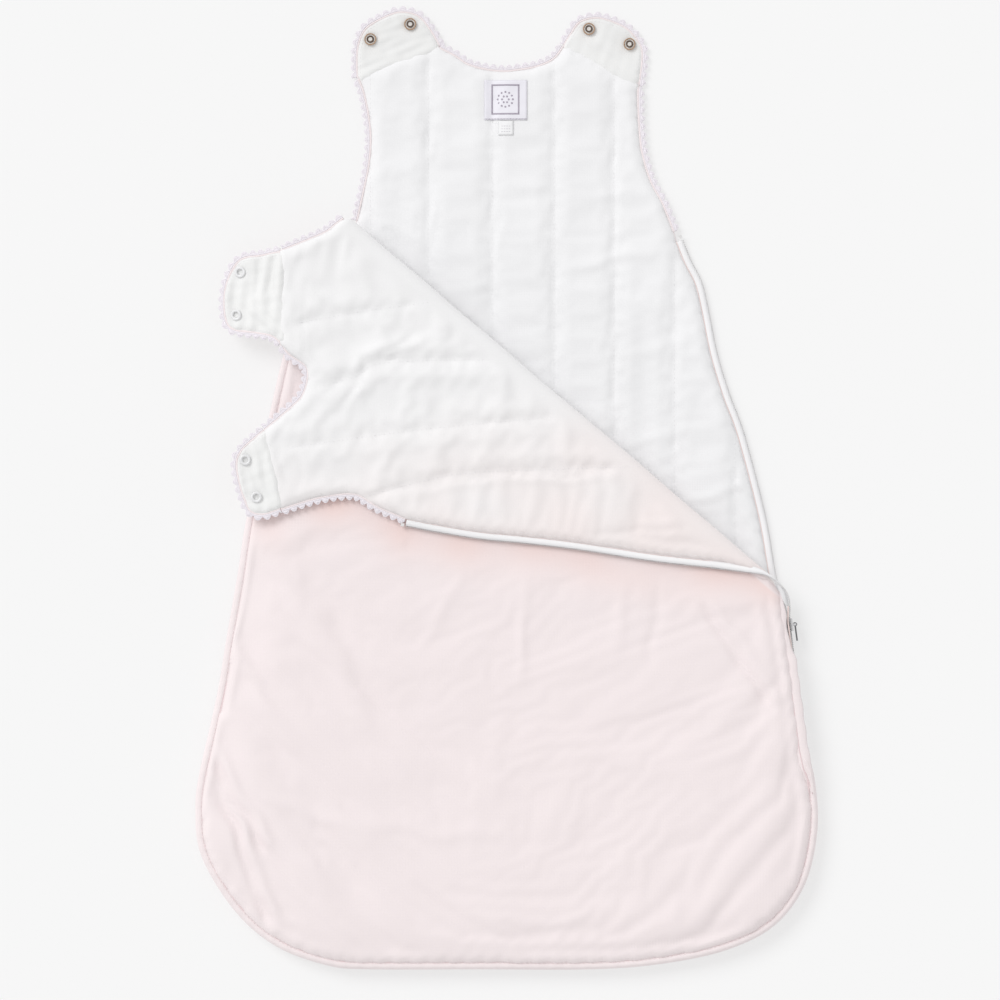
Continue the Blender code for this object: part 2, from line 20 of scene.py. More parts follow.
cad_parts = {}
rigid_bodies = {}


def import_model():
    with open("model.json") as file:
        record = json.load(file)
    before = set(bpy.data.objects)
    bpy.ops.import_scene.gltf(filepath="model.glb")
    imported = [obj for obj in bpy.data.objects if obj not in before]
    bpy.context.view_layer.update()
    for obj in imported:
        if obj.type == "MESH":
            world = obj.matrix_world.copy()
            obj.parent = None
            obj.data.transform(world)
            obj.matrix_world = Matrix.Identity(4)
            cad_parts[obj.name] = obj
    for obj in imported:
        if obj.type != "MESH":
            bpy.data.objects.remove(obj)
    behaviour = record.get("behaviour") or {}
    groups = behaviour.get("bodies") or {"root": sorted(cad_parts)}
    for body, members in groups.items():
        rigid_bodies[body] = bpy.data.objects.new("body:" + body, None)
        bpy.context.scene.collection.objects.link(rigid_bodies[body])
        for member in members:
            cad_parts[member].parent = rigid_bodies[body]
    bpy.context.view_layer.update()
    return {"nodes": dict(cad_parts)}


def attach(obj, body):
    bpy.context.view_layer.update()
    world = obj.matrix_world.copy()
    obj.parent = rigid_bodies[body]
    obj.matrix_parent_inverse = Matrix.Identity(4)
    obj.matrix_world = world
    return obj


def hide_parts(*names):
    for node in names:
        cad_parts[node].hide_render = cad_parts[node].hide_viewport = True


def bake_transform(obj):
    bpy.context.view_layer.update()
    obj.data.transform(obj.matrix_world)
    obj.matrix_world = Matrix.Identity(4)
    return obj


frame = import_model()

MM = 0.001

# Heights above the floor: half a panel's thickness, and the middle of each panel.
HALF = 3.7
BACK_MIDDLE = 3.7
FOLD_HEIGHT = 22.0
FOLD_TO_MIDDLE = 3.9
FOLD_RADIUS = 7.6
ROLL = pi * FOLD_RADIUS

# Near the side and hem seam the front comes down and the back comes up to meet it.
FRONT_DROP = 4.6
BACK_LIFT = 2.4
SEAM_REACH = 42

# The fold line: a point on it, its direction, and the way out from the flap, seen from above.
FOLD_POINT = np.array((33.7, 60.45))
FOLD_ALONG = np.array((0.7624, -0.6471))
FOLD_OUT = np.array((0.6471, 0.7624))

# Meshes: the distance between points of a panel and of a tab, and the cloth's thickness.
SPACING = 5.0
TAB_SPACING = 2.6
CLOTH = 0.7

# How far in from its edge a panel is still rounded.
EDGE_ROUNDNESS = 6

# How much of its CAD solid's space each padded piece fills.
PANEL_FILL = 0.5
TAB_FILL = 0.3
SEAM_FILL = 0.7

# Outlines run anticlockwise seen from above, so the cloth is on their left.
SEAM_WIDTH = 5.5
SEAM_MIDDLE = 9.8
SEAM_HALF = 5.2
SEAM_FLANGE = 4.2
# Where the painted shadow in the seam band's groove stops, going up the left side.
SEAM_SHADOW_TOP = -186
PICOT_PITCH = 6.0
BACK_TRIM_HEIGHT = 4.0
FLAP_TRIM_HEIGHT = 25.8
PANEL_UNDER_TAB = 3.0
TAB_IN_PANEL = 5.0
SEAM_EDGE = [
    (-118, 184), (-137, 164), (-151, 123), (-161, 100), (-172, 54), (-189, -23),
    (-195, -61), (-204, -113), (-209, -144), (-215, -172), (-223, -207), (-226, -232),
    (-222, -267), (-198, -307), (-168, -333), (-131, -347), (-100, -350), (-20, -350),
    (62, -350), (113, -346), (160, -336), (195, -318), (217, -288), (226, -248),
    (224, -212), (219, -196),
]
ZIP_BOTTOM = (216.5, -190)
ZIP_MEETING = (204, -97)
ZIP_OPEN_EDGE = [
    (199, -78), (195, -60), (188, -20), (173, 38), (162, 68), (153, 98), (147, 128),
    (142, 149), (134, 165), (128, 180),
]
ARMHOLE_RIGHT = [
    (122, 186), (114, 206), (105, 223), (99, 243), (97, 259), (96, 278), (96, 291),
]
NECK = [
    (41, 321), (34, 312), (22, 306.5), (8, 304), (-3, 303), (-18, 305), (-29, 308.5),
    (-37, 314), (-48.5, 320),
]
ARMHOLE_LEFT = [
    (-108, 297), (-104, 287), (-100.5, 270), (-99, 253), (-100.5, 234), (-105, 212),
    (-109, 194),
]
BACK_TAB_RIGHT = [
    (96.5, 292), (99, 315), (95, 326), (86, 335), (71, 341), (61, 341.5), (52, 338),
    (46.5, 330), (41.5, 322),
]
BACK_TAB_LEFT = [
    (-48.5, 321), (-54.5, 332), (-64, 343), (-77, 346), (-89.5, 342), (-102.5, 334),
    (-108, 322), (-109, 308), (-108.5, 298),
]
FLAP_ARMHOLE_LEFT = [
    (-118, 195), (-124, 190.5), (-131, 185), (-146, 178.5), (-162, 172),
]
FLAP_NECK = [
    (-162, 103), (-158.5, 97), (-149, 90.5), (-144.5, 86), (-144.5, 77), (-148, 66.5),
    (-155, 59), (-169, 47), (-175, 42),
]
FLAP_ARMHOLE_RIGHT = [
    (-163, -16), (-146, -10.5), (-132, -7), (-117, -5), (-107, -6), (-95, -13.5),
    (-80, -20), (-73, -23),
]
FLAP_ZIP_EDGE = [
    (-73, -27.5), (-50, -32), (-19, -37), (12, -40), (54, -45), (102, -52.5), (136, -56.5),
    (151, -58), (158, -58.8),
]
FRONT_TAB_LEFT = [
    (-163.8, 171), (-179, 168), (-191, 166.5), (-198.5, 161), (-204, 150), (-206.5, 138),
    (-206, 125), (-203, 117), (-196, 113.5), (-183, 112), (-170.5, 109.5), (-163.8, 104.5),
]
FRONT_TAB_RIGHT = [
    (-175.7, 41.5), (-184, 34.5), (-191, 28), (-195.5, 18.5), (-193.5, 3.5), (-189.5, -9.5),
    (-185, -17.5), (-176, -19.5), (-163.7, -15.5),
]

# Where the roll of the fold ends at the zip and at the armhole: how far along the fold, and
# the angle round it, from under the flap's hinge line (-90) to over it (90).
ROLL_END_RIGHT = [(212, -45), (202, 0), (192, 45), (184, 90)]
ROLL_END_LEFT = [(-203, 40), (-201, 0), (-198, -45), (-193, -90)]

# From here along the fold the outer cloth goes round the roll as well, because it shows.
ROLL_CLOSED_FROM = 150

# Quilting lines: where the upright ones on the back are, and those on the flap.
UPRIGHT_LINES = (-143, -99, -57, -10.5, 34.5, 78, 122, 166)
FLAP_LINES = [
    [(-150, 119), (-106, 127), (-55.5, 134)],
    [(-147, 70), (-109, 80), (-90, 90), (-12, 92.5)],
    [(-157, 29), (-60, 42), (34, 51)],
    [(-104, -7), (-39, 9), (30, 13), (97, 15)],
]

# Creases: where each starts and stops, its half width and its height.
FLAP_CREASES = [
    ((-181, 169), (-184, 140), 1.8, -0.9), ((-175, 170), (-179, 138), 1.8, 0.6),
    ((-168, 171), (-174, 140), 2.0, -0.9), ((-152, 177), (-156, 158), 2.2, -0.8),
    ((-145, 181), (-148, 160), 2.0, -0.9), ((-138, 184), (-140, 164), 2.2, 0.7),
    ((-193, 130), (-172, 113), 1.8, -0.9), ((-187, 133), (-166, 113), 1.8, 0.7),
    ((-184, 136), (-161, 112), 1.8, -0.8), ((-165, 138), (-155, 114), 2.2, -0.8),
    ((-157, 140), (-153, 108), 2.0, 0.6), ((-147, 150), (-147, 78), 1.6, -0.9),
    ((-148, 69), (-109, 80), 2.6, 0.9), ((-113, 86), (-78, 108), 3.6, 1.3),
    ((-104, 84), (-66, 112), 2.2, -0.9), ((-100, 90), (-48, 111), 3.2, 1.1),
    ((-92, 91), (-74, 92.5), 1.5, -1.4), ((-96, 86), (-111, 58), 2.8, 1.0),
    ((-101, 84), (-118, 62), 2.2, -0.9), ((-60, 128), (-42, 146), 3.6, 1.1),
    ((-52, 112), (-26, 130), 3.6, 1.0), ((-28, 96), (-8, 106), 4.0, 0.9),
    ((-135, 66), (-112, 88), 3.0, -0.8), ((-185, 17), (-177, -10), 2.0, -0.8),
    ((-166, 34), (-162, -6), 1.8, -0.8), ((-156, 59), (-165, 34), 2.2, -0.8),
    ((-172, 26), (-168, -8), 1.8, 0.7), ((-152, 30), (-149, -2), 2.4, -0.6),
    ((58, -33), (145, -29), 2.0, -0.9), ((96, -25), (140, -21), 2.4, 0.7),
    ((-90, -24), (-40, -27), 2.0, 0.6), ((-100, -8), (-39, 7.5), 1.4, -1.2),
    ((-39, 7.5), (95, 13), 1.4, -1.1), ((-98, -13), (-39, 2.5), 3.0, 0.8),
    ((-39, 2.5), (95, 8), 3.0, 0.8),
]
FRONT_CREASES = [
    ((-162, -50), (-96, -176), 7.5, 1.3), ((-146, -50), (-84, -170), 7.0, -0.8),
    ((-216, -190), (-176, -262), 3.0, -1.9), ((-182, -250), (-140, -300), 4.0, -1.0),
    ((-209, -190), (-168, -258), 3.4, 1.5), ((-208, -214), (-172, -318), 2.8, -1.7),
    ((-201, -216), (-164, -314), 3.2, 1.3), ((140, -86), (193, -163), 3.0, -1.5),
    ((148, -84), (199, -156), 3.2, 1.2), ((14, -62), (12, -138), 4.0, 0.8),
    ((84, -68), (79, -120), 4.0, 0.7), ((111, -67), (104, -122), 4.0, -0.7),
    ((-176, -222), (-97, -250), 5.0, 0.8), ((-110, -241), (10, -252), 6.0, 0.6),
    ((39, -174), (97, -207), 6.0, 0.6), ((-60, -180), (20, -215), 7.0, -0.6),
    ((120, -200), (170, -250), 6.0, 0.7), ((-155, 62), (-150, 40), 2.4, 0.9),
    ((-161, 84), (-157, 50), 2.4, -0.9), ((-30, -60), (-60, -118), 4.0, 0.6),
    ((190, -90), (203, -170), 3.0, -0.7), ((-196, -120), (-150, -190), 5.0, 0.7),
]
BACK_CREASES = [
    ((5, 218), (34, 225), 4.0, 1.0), ((53, 209), (92, 214), 4.0, 1.1),
    ((45, 160), (112, 172), 4.5, 1.0), ((88, 96), (140, 108), 4.5, 1.0),
    ((-92, 190), (-52, 176), 4.5, 0.9), ((-46, 140), (-8, 150), 4.5, 0.9),
    ((82, 30), (150, 46), 4.5, 1.0), ((130, -10), (175, 0), 4.0, 1.0),
]


def drooped(points):
    """Turns points of the left front tab down about its root."""
    root = np.array((-162.3, 137.5, 27.3))
    turn = np.array(Matrix.Rotation(-radians(14), 3, (0, 1, 0)))
    return (points - root) @ turn.T + root


def unmoved(points):
    return points


# Each tab: its edge, its root's middle, the way out, its middle height, its snaps, the body it
# is sewn to, and how it lies at rest.
Tab = namedtuple("Tab", "edge root outwards middle snaps parent laid")
TABS = {
    "back_tab_left": Tab(
        BACK_TAB_LEFT, (-78.5, 308.8), (-0.3606, 0.9327), 2.6, [(-99, 326), (-70, 337)],
        "bag", unmoved,
    ),
    "back_tab_right": Tab(
        BACK_TAB_RIGHT, (68.7, 306.3), (0.4788, 0.8779), 2.6, [(60, 333.5), (89.5, 322.5)],
        "bag", unmoved,
    ),
    "front_tab_left": Tab(
        FRONT_TAB_LEFT, (-162.3, 137.5), (-1, 0), 25.8, [(-194, 156), (-197, 125)],
        "front_flap", drooped,
    ),
    "front_tab_right": Tab(
        FRONT_TAB_RIGHT, (-169.2, 13), (-0.9793, -0.2026), 25.8, [(-189, 20), (-181, -7)],
        "front_flap", unmoved,
    ),
}


# ---------------------------------------------------------------- lines


def smooth(points, steps=6):
    """A curve through the points, with this many straight pieces from each to the next."""
    points = np.asarray(points, float)
    ends = np.vstack([points[:1], points, points[-1:]])
    t = np.arange(steps)[:, None] / steps
    runs = []
    for before, start, stop, after in zip(ends, ends[1:], ends[2:], ends[3:]):
        bend = 2 * before - 5 * start + 4 * stop - after
        twist = 3 * start - before - 3 * stop + after
        runs.append(start + (stop - before) * t / 2 + bend * t**2 / 2 + twist * t**3 / 2)
    return np.vstack([*runs, points[-1:]])


def spaced(path, spacing):
    """Points at even steps along a path, with its ends."""
    path = np.asarray(path, float)
    along = np.concatenate([[0], np.cumsum(np.linalg.norm(np.diff(path, axis=0), axis=1))])
    steps = max(round(along[-1] / spacing), 1)
    wanted = np.linspace(0, along[-1], steps + 1)
    return np.stack([np.interp(wanted, along, column) for column in path.T], axis=1)


def offset(path, distance):
    """The path moved to its left, all of it or each point by its own distance."""
    ahead = np.gradient(path, axis=0)
    left = np.stack([-ahead[:, 1], ahead[:, 0]], axis=1)
    left /= np.linalg.norm(left, axis=1)[:, None]
    return path + left * np.reshape(distance, (-1, 1))


def distance_to(points, path):
    """How far each point is from a path."""
    nearest = np.full(len(points), np.inf)
    for start, stop in zip(path[:-1], path[1:]):
        run = stop - start
        share = np.clip((points - start) @ run / max(run @ run, 1e-12), 0, 1)
        gap = np.linalg.norm(points - start - share[:, None] * run, axis=1)
        nearest = np.minimum(nearest, gap)
    return nearest


def inside(points, outline):
    """Which points lie inside a closed outline."""
    x, y = points.T
    odd = np.zeros(len(points), bool)
    for (x0, y0), (x1, y1) in zip(outline, np.roll(outline, -1, axis=0)):
        if y0 != y1:
            odd ^= ((y0 > y) != (y1 > y)) & (x < (x1 - x0) * (y - y0) / (y1 - y0) + x0)
    return odd


def ripple(points, wavelength, seed):
    """A smooth random height, mostly between -1 and 1."""
    rng = np.random.default_rng(seed)
    height = np.zeros(len(points))
    for _ in range(8):
        heading = rng.uniform(0, tau)
        pace = tau / (wavelength * rng.uniform(0.7, 1.5))
        along = points[:, 0] * cos(heading) + points[:, 1] * sin(heading)
        height += np.sin(along * pace + rng.uniform(0, tau))
    return height / 3


def crease_height(points, creases):
    """The height of all the creases, each a little wavy and lower towards its ends."""
    waves = [1.8 * ripple(points, 45, seed) for seed in (31, 32)]
    places = points + np.stack(waves, axis=1)
    height = np.zeros(len(points))
    for start, stop, width, rise in creases:
        run = np.subtract(stop, start)
        share = np.clip((places - start) @ run / (run @ run), 0, 1)
        away = np.linalg.norm(places - start - share[:, None] * run, axis=1)
        swell = 0.3 + 0.7 * np.sqrt(4 * share * (1 - share))
        height += rise * swell * np.exp(-((away / width) ** 2))
    return height


def ease(share):
    """A smooth step from 0 to 1."""
    share = np.clip(share, 0, 1)
    return share * share * (3 - 2 * share)


# ---------------------------------------------------------------- meshes


def piece(name, points, faces, look, slot):
    """A smooth-shaded object of the scene, from points in millimetres."""
    mesh = bpy.data.meshes.new(name)
    mesh.from_pydata((np.asarray(points) * MM).tolist(), [], [list(map(int, f)) for f in faces])
    mesh.materials.append(look)
    mesh.shade_smooth()
    made = bpy.data.objects.new(name, mesh)
    bpy.context.scene.collection.objects.link(made)
    return made


def joined(parts):
    """Several (points, faces) as one."""
    points, faces, count = [], [], 0
    for part_points, part_faces in parts:
        points.append(part_points)
        faces += [[i + count for i in face] for face in part_faces]
        count += len(part_points)
    return np.vstack(points), faces


def loft(rings, closed=False):
    """Rings of points joined one after another, with closed ends or as one closed loop."""
    rings = np.asarray(rings, float)
    number, count = rings.shape[:2]
    faces = []
    for i in range(number if closed else number - 1):
        here, there = i * count, (i + 1) % number * count
        for k in range(count):
            following = (k + 1) % count
            faces.append([here + k, here + following, there + following, there + k])
    if not closed:
        faces.append(list(range(count))[::-1])
        faces.append(list(range((number - 1) * count, number * count)))
    return rings.reshape(-1, 3), faces


def tube(path, radius, sides=6, closed=False):
    """A round tube along a path in space."""
    path = np.asarray(path, float)
    ahead = np.roll(path, -1, 0) - np.roll(path, 1, 0) if closed else np.gradient(path, axis=0)
    ahead /= np.linalg.norm(ahead, axis=1)[:, None]
    upright = np.abs(ahead[:, 2]) > 0.9
    other = np.where(upright[:, None], (1.0, 0, 0), (0, 0, 1.0))
    side = np.cross(ahead, other)
    side /= np.linalg.norm(side, axis=1)[:, None]
    up = np.cross(side, ahead)
    radius = np.broadcast_to(radius, len(path))[:, None]
    rings = [
        path + radius * (side * cos(tau * k / sides) + up * sin(tau * k / sides))
        for k in range(sides)
    ]
    return loft(np.stack(rings, axis=1), closed)


def turned(centre, profile, segments=32):
    """A round piece about an upright line. The profile is a loop of (radius, height)."""
    rings = []
    for i in range(segments):
        angle = tau * i / segments
        rings.append(
            [(centre[0] + r * cos(angle), centre[1] + r * sin(angle), z) for r, z in profile]
        )
    return loft(rings, closed=True)


def facing_out(made):
    """Turns the faces of a closed piece outwards."""
    mesh = bmesh.new()
    mesh.from_mesh(made.data)
    bmesh.ops.recalc_face_normals(mesh, faces=mesh.faces)
    mesh.to_mesh(made.data)
    mesh.free()
    return made


def solid(name, shape, look, slot, hold, node=None):
    """A closed piece held to its body, and the CAD node that it stands for, if any."""
    made = facing_out(piece(name, *shape, look, slot))
    hold(made)
    if node:
        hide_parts(node)
    return made


def stuffed(made, fill_share, *nodes):
    """Hides the CAD nodes that a cloth over padding stands for."""
    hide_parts(*nodes)


def fill(outline, rows, spacing):
    """Points and triangles that cover an outline, with points along each of the rows."""
    edge = np.vstack([outline, outline[:1]])
    kept = []
    for row in rows:
        row = spaced(row, spacing)
        row = row[inside(row, outline)]
        kept.append(row[distance_to(row, edge) > 0.5 * spacing] if len(row) else row)
    low, high = outline.min(0), outline.max(0)
    grid = []
    for line, y in enumerate(np.arange(low[1], high[1], spacing * 0.866)):
        for x in np.arange(low[0], high[0], spacing):
            grid.append((x + spacing / 2 * (line % 2), y))
    grid = np.array(grid)
    grid = grid[inside(grid, outline)]
    for path in [edge, *kept]:
        if len(path) > 1:
            grid = grid[distance_to(grid, path) > 0.6 * spacing]
    points = np.vstack([outline, *kept, grid])
    border = list(range(len(outline)))
    made = delaunay_2d_cdt([Vector(p) for p in points], [], [border], 1, 1e-5)
    return np.array([tuple(p) for p in made[0]]), np.array(made[2])


# ---------------------------------------------------------------- pads


class Pad:
    """A flat pad: a top and a bottom cloth that share their edge."""

    def __init__(self, outline, rows, sewn, half, roundness, spacing):
        outline = spaced(np.vstack([outline, outline[:1]]), spacing)[:-1]
        plan, self.triangles = fill(outline, rows + sewn, spacing)
        away = distance_to(plan, np.vstack([outline, outline[:1]]))
        channel = np.full(len(plan), 99.0)
        for line in sewn:
            channel = np.minimum(channel, distance_to(plan, np.asarray(line, float)))
        rise = half * np.sqrt(1 - (1 - np.clip(away / roundness, 0, 1)) ** 2)
        dip = 0.35 * np.maximum(1 - channel / 13, 0) ** 2
        self.top = np.column_stack([plan, rise * (1 - dip)])
        self.bottom = np.column_stack([plan, -rise])
        self.plan, self.away, self.channel = plan, away, channel

    def puff(self, slack, pressure, most):
        """Lets the pad's cloths swell and pucker between their seams."""
        count = len(self.plan)
        border = self.away < 0.01
        below = np.arange(count)
        below[~border] = count + np.arange((~border).sum())
        start = np.vstack([self.top, self.bottom[~border]])
        faces = np.vstack([self.triangles, below[self.triangles][:, ::-1]])
        sewn = border | (self.channel < 0.3)
        hold = np.concatenate([np.where(sewn, 1.0, 0.06), np.full((~border).sum(), 0.12)])
        moved = simulated(start, faces, hold, slack, pressure) - start
        reach = np.linalg.norm(moved, axis=1)
        ended = start + moved * (np.tanh(reach / most) * most / np.maximum(reach, 1e-9))[:, None]
        self.top, self.bottom = ended[:count], ended[below]
        return self

    def refine(self):
        """Makes four triangles of each one, so that stitched grooves and gathers show."""
        columns = [self.top, self.bottom, self.plan, self.away[:, None], self.channel[:, None]]
        values, self.triangles = finer(np.hstack(columns), self.triangles)
        self.top, self.bottom, self.plan = values[:, :3], values[:, 3:6], values[:, 6:8]
        self.away, self.channel = values[:, 8], values[:, 9]
        return self


def finer(values, triangles):
    """Loop subdivision of a triangle mesh, where each point has a row of values."""
    count = len(values)
    sides = triangles[:, [[0, 1], [1, 2], [2, 0]]].reshape(-1, 2)
    opposite = values[triangles[:, [2, 0, 1]].reshape(-1)]
    edges, side, uses = np.unique(
        np.sort(sides, axis=1), axis=0, return_inverse=True, return_counts=True
    )
    side = side.reshape(-1)
    far = np.zeros((len(edges), values.shape[1]))
    np.add.at(far, side, opposite)
    ends = values[edges].sum(axis=1)
    rim = uses == 1
    middles = np.where(rim[:, None], ends / 2, ends * 3 / 8 + far / 8)
    moved = values.copy()
    on_rim = np.zeros(count, bool)
    on_rim[edges[rim]] = True
    for group, chosen in ((edges, ~on_rim), (edges[rim], on_rim)):
        total, number = np.zeros_like(values), np.zeros(count)
        for here, there in ((0, 1), (1, 0)):
            np.add.at(total, group[:, here], values[group[:, there]])
            np.add.at(number, group[:, here], 1)
        number = np.maximum(number, 1)
        share = (5 / 8 - (3 / 8 + np.cos(tau / number) / 4) ** 2) / number
        share = np.where(on_rim, 1 / 8, share)
        smoothed = values * (1 - number * share)[:, None] + total * share[:, None]
        moved[chosen] = smoothed[chosen]
    a, b, c = triangles.T
    ab, bc, ca = (count + side.reshape(-1, 3)).T
    split = [(a, ab, ca), (ab, b, bc), (ca, bc, c), (ab, bc, ca)]
    return np.vstack([moved, middles]), np.vstack([np.column_stack(part) for part in split])


def simulated(points, faces, hold, slack, pressure, frames=14):
    """Where a closed cloth's points go when it is blown up and its threads lengthen."""
    scene = bpy.context.scene
    mesh = bpy.data.meshes.new("pad")
    mesh.from_pydata((points * MM).tolist(), [], faces.tolist())
    made = bpy.data.objects.new("pad", mesh)
    scene.collection.objects.link(made)
    group = made.vertex_groups.new(name="hold")
    for weight in np.unique(hold):
        group.add(np.flatnonzero(hold == weight).tolist(), float(weight), "REPLACE")
    modifier = made.modifiers.new("Cloth", "CLOTH")
    settings = modifier.settings
    settings.quality = 4
    settings.mass = 0.2
    settings.vertex_group_mass = "hold"
    settings.use_pressure = True
    settings.uniform_pressure_force = pressure
    settings.shrink_min = -slack
    settings.bending_stiffness = 0.3
    settings.effector_weights.gravity = 0
    modifier.collision_settings.use_collision = False
    modifier.point_cache.frame_start = 1
    modifier.point_cache.frame_end = frames
    for number in range(1, frames + 1):
        scene.frame_set(number)
    evaluated = made.evaluated_get(bpy.context.evaluated_depsgraph_get())
    ended = np.empty(len(points) * 3)
    evaluated.data.vertices.foreach_get("co", ended)
    bpy.data.objects.remove(made)
    bpy.data.meshes.remove(mesh)
    scene.frame_set(1)
    return ended.reshape(-1, 3) / MM


# ---------------------------------------------------------------- materials


def shader(name, colour, roughness, **extra):
    """A new material and its shader, with these socket values."""
    look = bpy.data.materials.new(name)
    look.use_nodes = True
    surface = look.node_tree.nodes["Principled BSDF"]
    surface.inputs["Base Color"].default_value = (*colour, 1)
    surface.inputs["Roughness"].default_value = roughness
    for socket, value in extra.items():
        surface.inputs[socket.replace("_", " ")].default_value = value
    return look, look.node_tree, surface


def mottled(tree, surface, low, high, scale):
    """Lets the colour drift softly between two shades."""
    place = tree.nodes.new("ShaderNodeTexCoord")
    noise = tree.nodes.new("ShaderNodeTexNoise")
    ramp = tree.nodes.new("ShaderNodeValToRGB")
    noise.inputs["Scale"].default_value = scale
    noise.inputs["Detail"].default_value = 4
    ramp.color_ramp.elements[0].position = 0.35
    ramp.color_ramp.elements[1].position = 0.65
    ramp.color_ramp.elements[0].color = (*low, 1)
    ramp.color_ramp.elements[1].color = (*high, 1)
    tree.links.new(place.outputs["Object"], noise.inputs["Vector"])
    tree.links.new(noise.outputs["Fac"], ramp.inputs["Fac"])
    tree.links.new(ramp.outputs["Color"], surface.inputs["Base Color"])
    return place


# What turns a number of waves to the metre into the wave texture's scale.
WAVE_SCALE = 0.159


def woven(tree, surface, place, threads, depth):
    """Raises crossing threads, this many to the metre, over a fine fuzz."""
    before = None
    for direction in ("X", "Y"):
        wave = tree.nodes.new("ShaderNodeTexWave")
        wave.bands_direction = direction
        wave.inputs["Scale"].default_value = threads * WAVE_SCALE
        wave.inputs["Distortion"].default_value = 1.2
        wave.inputs["Detail"].default_value = 2
        bump = tree.nodes.new("ShaderNodeBump")
        bump.inputs["Strength"].default_value = 0.2
        bump.inputs["Distance"].default_value = depth
        tree.links.new(place.outputs["Object"], wave.inputs["Vector"])
        tree.links.new(wave.outputs["Fac"], bump.inputs["Height"])
        if before:
            tree.links.new(before.outputs["Normal"], bump.inputs["Normal"])
        before = bump
    tree.links.new(before.outputs["Normal"], surface.inputs["Normal"])


def painted_light_ramp(tree, surface, base, painted_light):
    """Paints light and shade into the colour: turns it from base to the painted-light colour by the
    mesh's own painted-light values.
    """
    given = tree.nodes.new("ShaderNodeAttribute")
    given.attribute_name = "painted_light"
    ramp = tree.nodes.new("ShaderNodeValToRGB")
    ramp.color_ramp.elements[0].color = (*base, 1)
    ramp.color_ramp.elements[1].color = (*painted_light, 1)
    tree.links.new(given.outputs["Fac"], ramp.inputs["Fac"])
    tree.links.new(ramp.outputs["Color"], surface.inputs["Base Color"])


def fabric(
    name, colour, threads, depth=0.00012, drift=0.02, roughness=0.9, sheen=0.25, painted_light=None
):
    """A soft cloth whose colour drifts a little, with its threads raised."""
    look, tree, surface = shader(name, colour, roughness, Sheen_Weight=sheen)
    paler = tuple(min(part * (1 + drift), 1) for part in colour)
    deeper = tuple(part * (1 - drift) for part in colour)
    place = mottled(tree, surface, deeper, paler, 14)
    woven(tree, surface, place, threads, depth)
    # With a second colour given, painted light: the colour turns to it by the mesh's painted-light
    # values.
    if painted_light:
        painted_light_ramp(tree, surface, colour, painted_light)
    return look


def enamel(name, colour, roughness, metallic=0.0):
    """A smooth hard finish with a faint unevenness."""
    look, tree, surface = shader(name, colour, roughness, Metallic=metallic)
    deeper = tuple(part * 0.9 for part in colour)
    mottled(tree, surface, deeper, colour, 300)
    return look


JERSEY = fabric("outer_jersey_knit", (0.885, 0.80, 0.805), 900)
# Painted shade: this jersey turns peach by the mesh's painted-light values, for the shade and pink
# bounce light under the flap's edge.
FRONT_JERSEY = fabric(
    "front_jersey_knit", (0.885, 0.80, 0.805), 900, painted_light=(0.86, 0.62, 0.57)
)
LINING = fabric("lining_cotton_weave", (0.87, 0.868, 0.878), 1100)
# Painted light: the flap's lining turns pink by the mesh's painted-light values, for pink light
# showing through from the cloth beneath.
FLAP_LINING = fabric("flap_lining_weave", (0.87, 0.865, 0.87), 1100, painted_light=(0.875, 0.80, 0.79))
FACING = fabric("tab_facing_weave", (0.835, 0.835, 0.83), 1100)
LACE = fabric("picot_lace_yarn", (0.87, 0.83, 0.875), 2200, 0.0002)
TAPE = fabric("zip_tape_twill", (0.91, 0.905, 0.915), 1600, 0.0002)
PIPING = fabric("zip_piping_jersey", (0.80, 0.66, 0.63), 1200)
# A darker pink for tubes laid in seam grooves: painted shadow.
SEAM_GROOVE_SHADOW = fabric("seam_shadow_jersey", (0.80, 0.65, 0.66), 1200)
THREAD = fabric("sewing_thread", (0.86, 0.85, 0.86), 3000)
PINK_THREAD = fabric("pink_sewing_thread", (0.84, 0.73, 0.735), 3000)
SATIN = fabric("label_satin_weave", (0.84, 0.825, 0.885), 2600, 0.00005, 0.02, 0.5)
CARE = fabric("care_label_weave", (0.88, 0.88, 0.89), 2600, 0.00005, 0.02, 0.6)
PRINT = fabric("label_print", (0.42, 0.38, 0.45), 2600, 0.00005, 0.06)
NYLON = enamel("zip_nylon_white", (0.84, 0.83, 0.83), 0.45)
SLIDER = enamel("slider_silver_enamel", (0.66, 0.66, 0.67), 0.35, 0.4)
PULLER = enamel("puller_grey_enamel", (0.16, 0.16, 0.17), 0.35, 0.5)
STOP = enamel("zip_stop_white", (0.80, 0.79, 0.79), 0.4)
BRASS = enamel("snap_aged_brass", (0.50, 0.33, 0.22), 0.4, 0.3)
# Near-white and not metal: painted highlight on the socket's plate and middle.
SNAP_PAINTED_HIGHLIGHT = enamel("snap_plate_painted_highlight", (0.83, 0.80, 0.76), 0.45)
# Near-black: painted shade in the socket's hollow.
SNAP_PAINTED_SHADE = enamel("snap_hollow_painted_shade", (0.13, 0.09, 0.07), 0.5, 0.5)
SNAP_WHITE = enamel("snap_white_enamel", (0.86, 0.86, 0.87), 0.3)


# ---------------------------------------------------------------- cloth


def vertex_normals(points, triangles):
    a, b, c = (points[triangles[:, k]] for k in range(3))
    facing = np.cross(b - a, c - a)
    normals = np.zeros_like(points)
    for k in range(3):
        np.add.at(normals, triangles[:, k], facing)
    return normals / np.maximum(np.linalg.norm(normals, axis=1), 1e-9)[:, None]


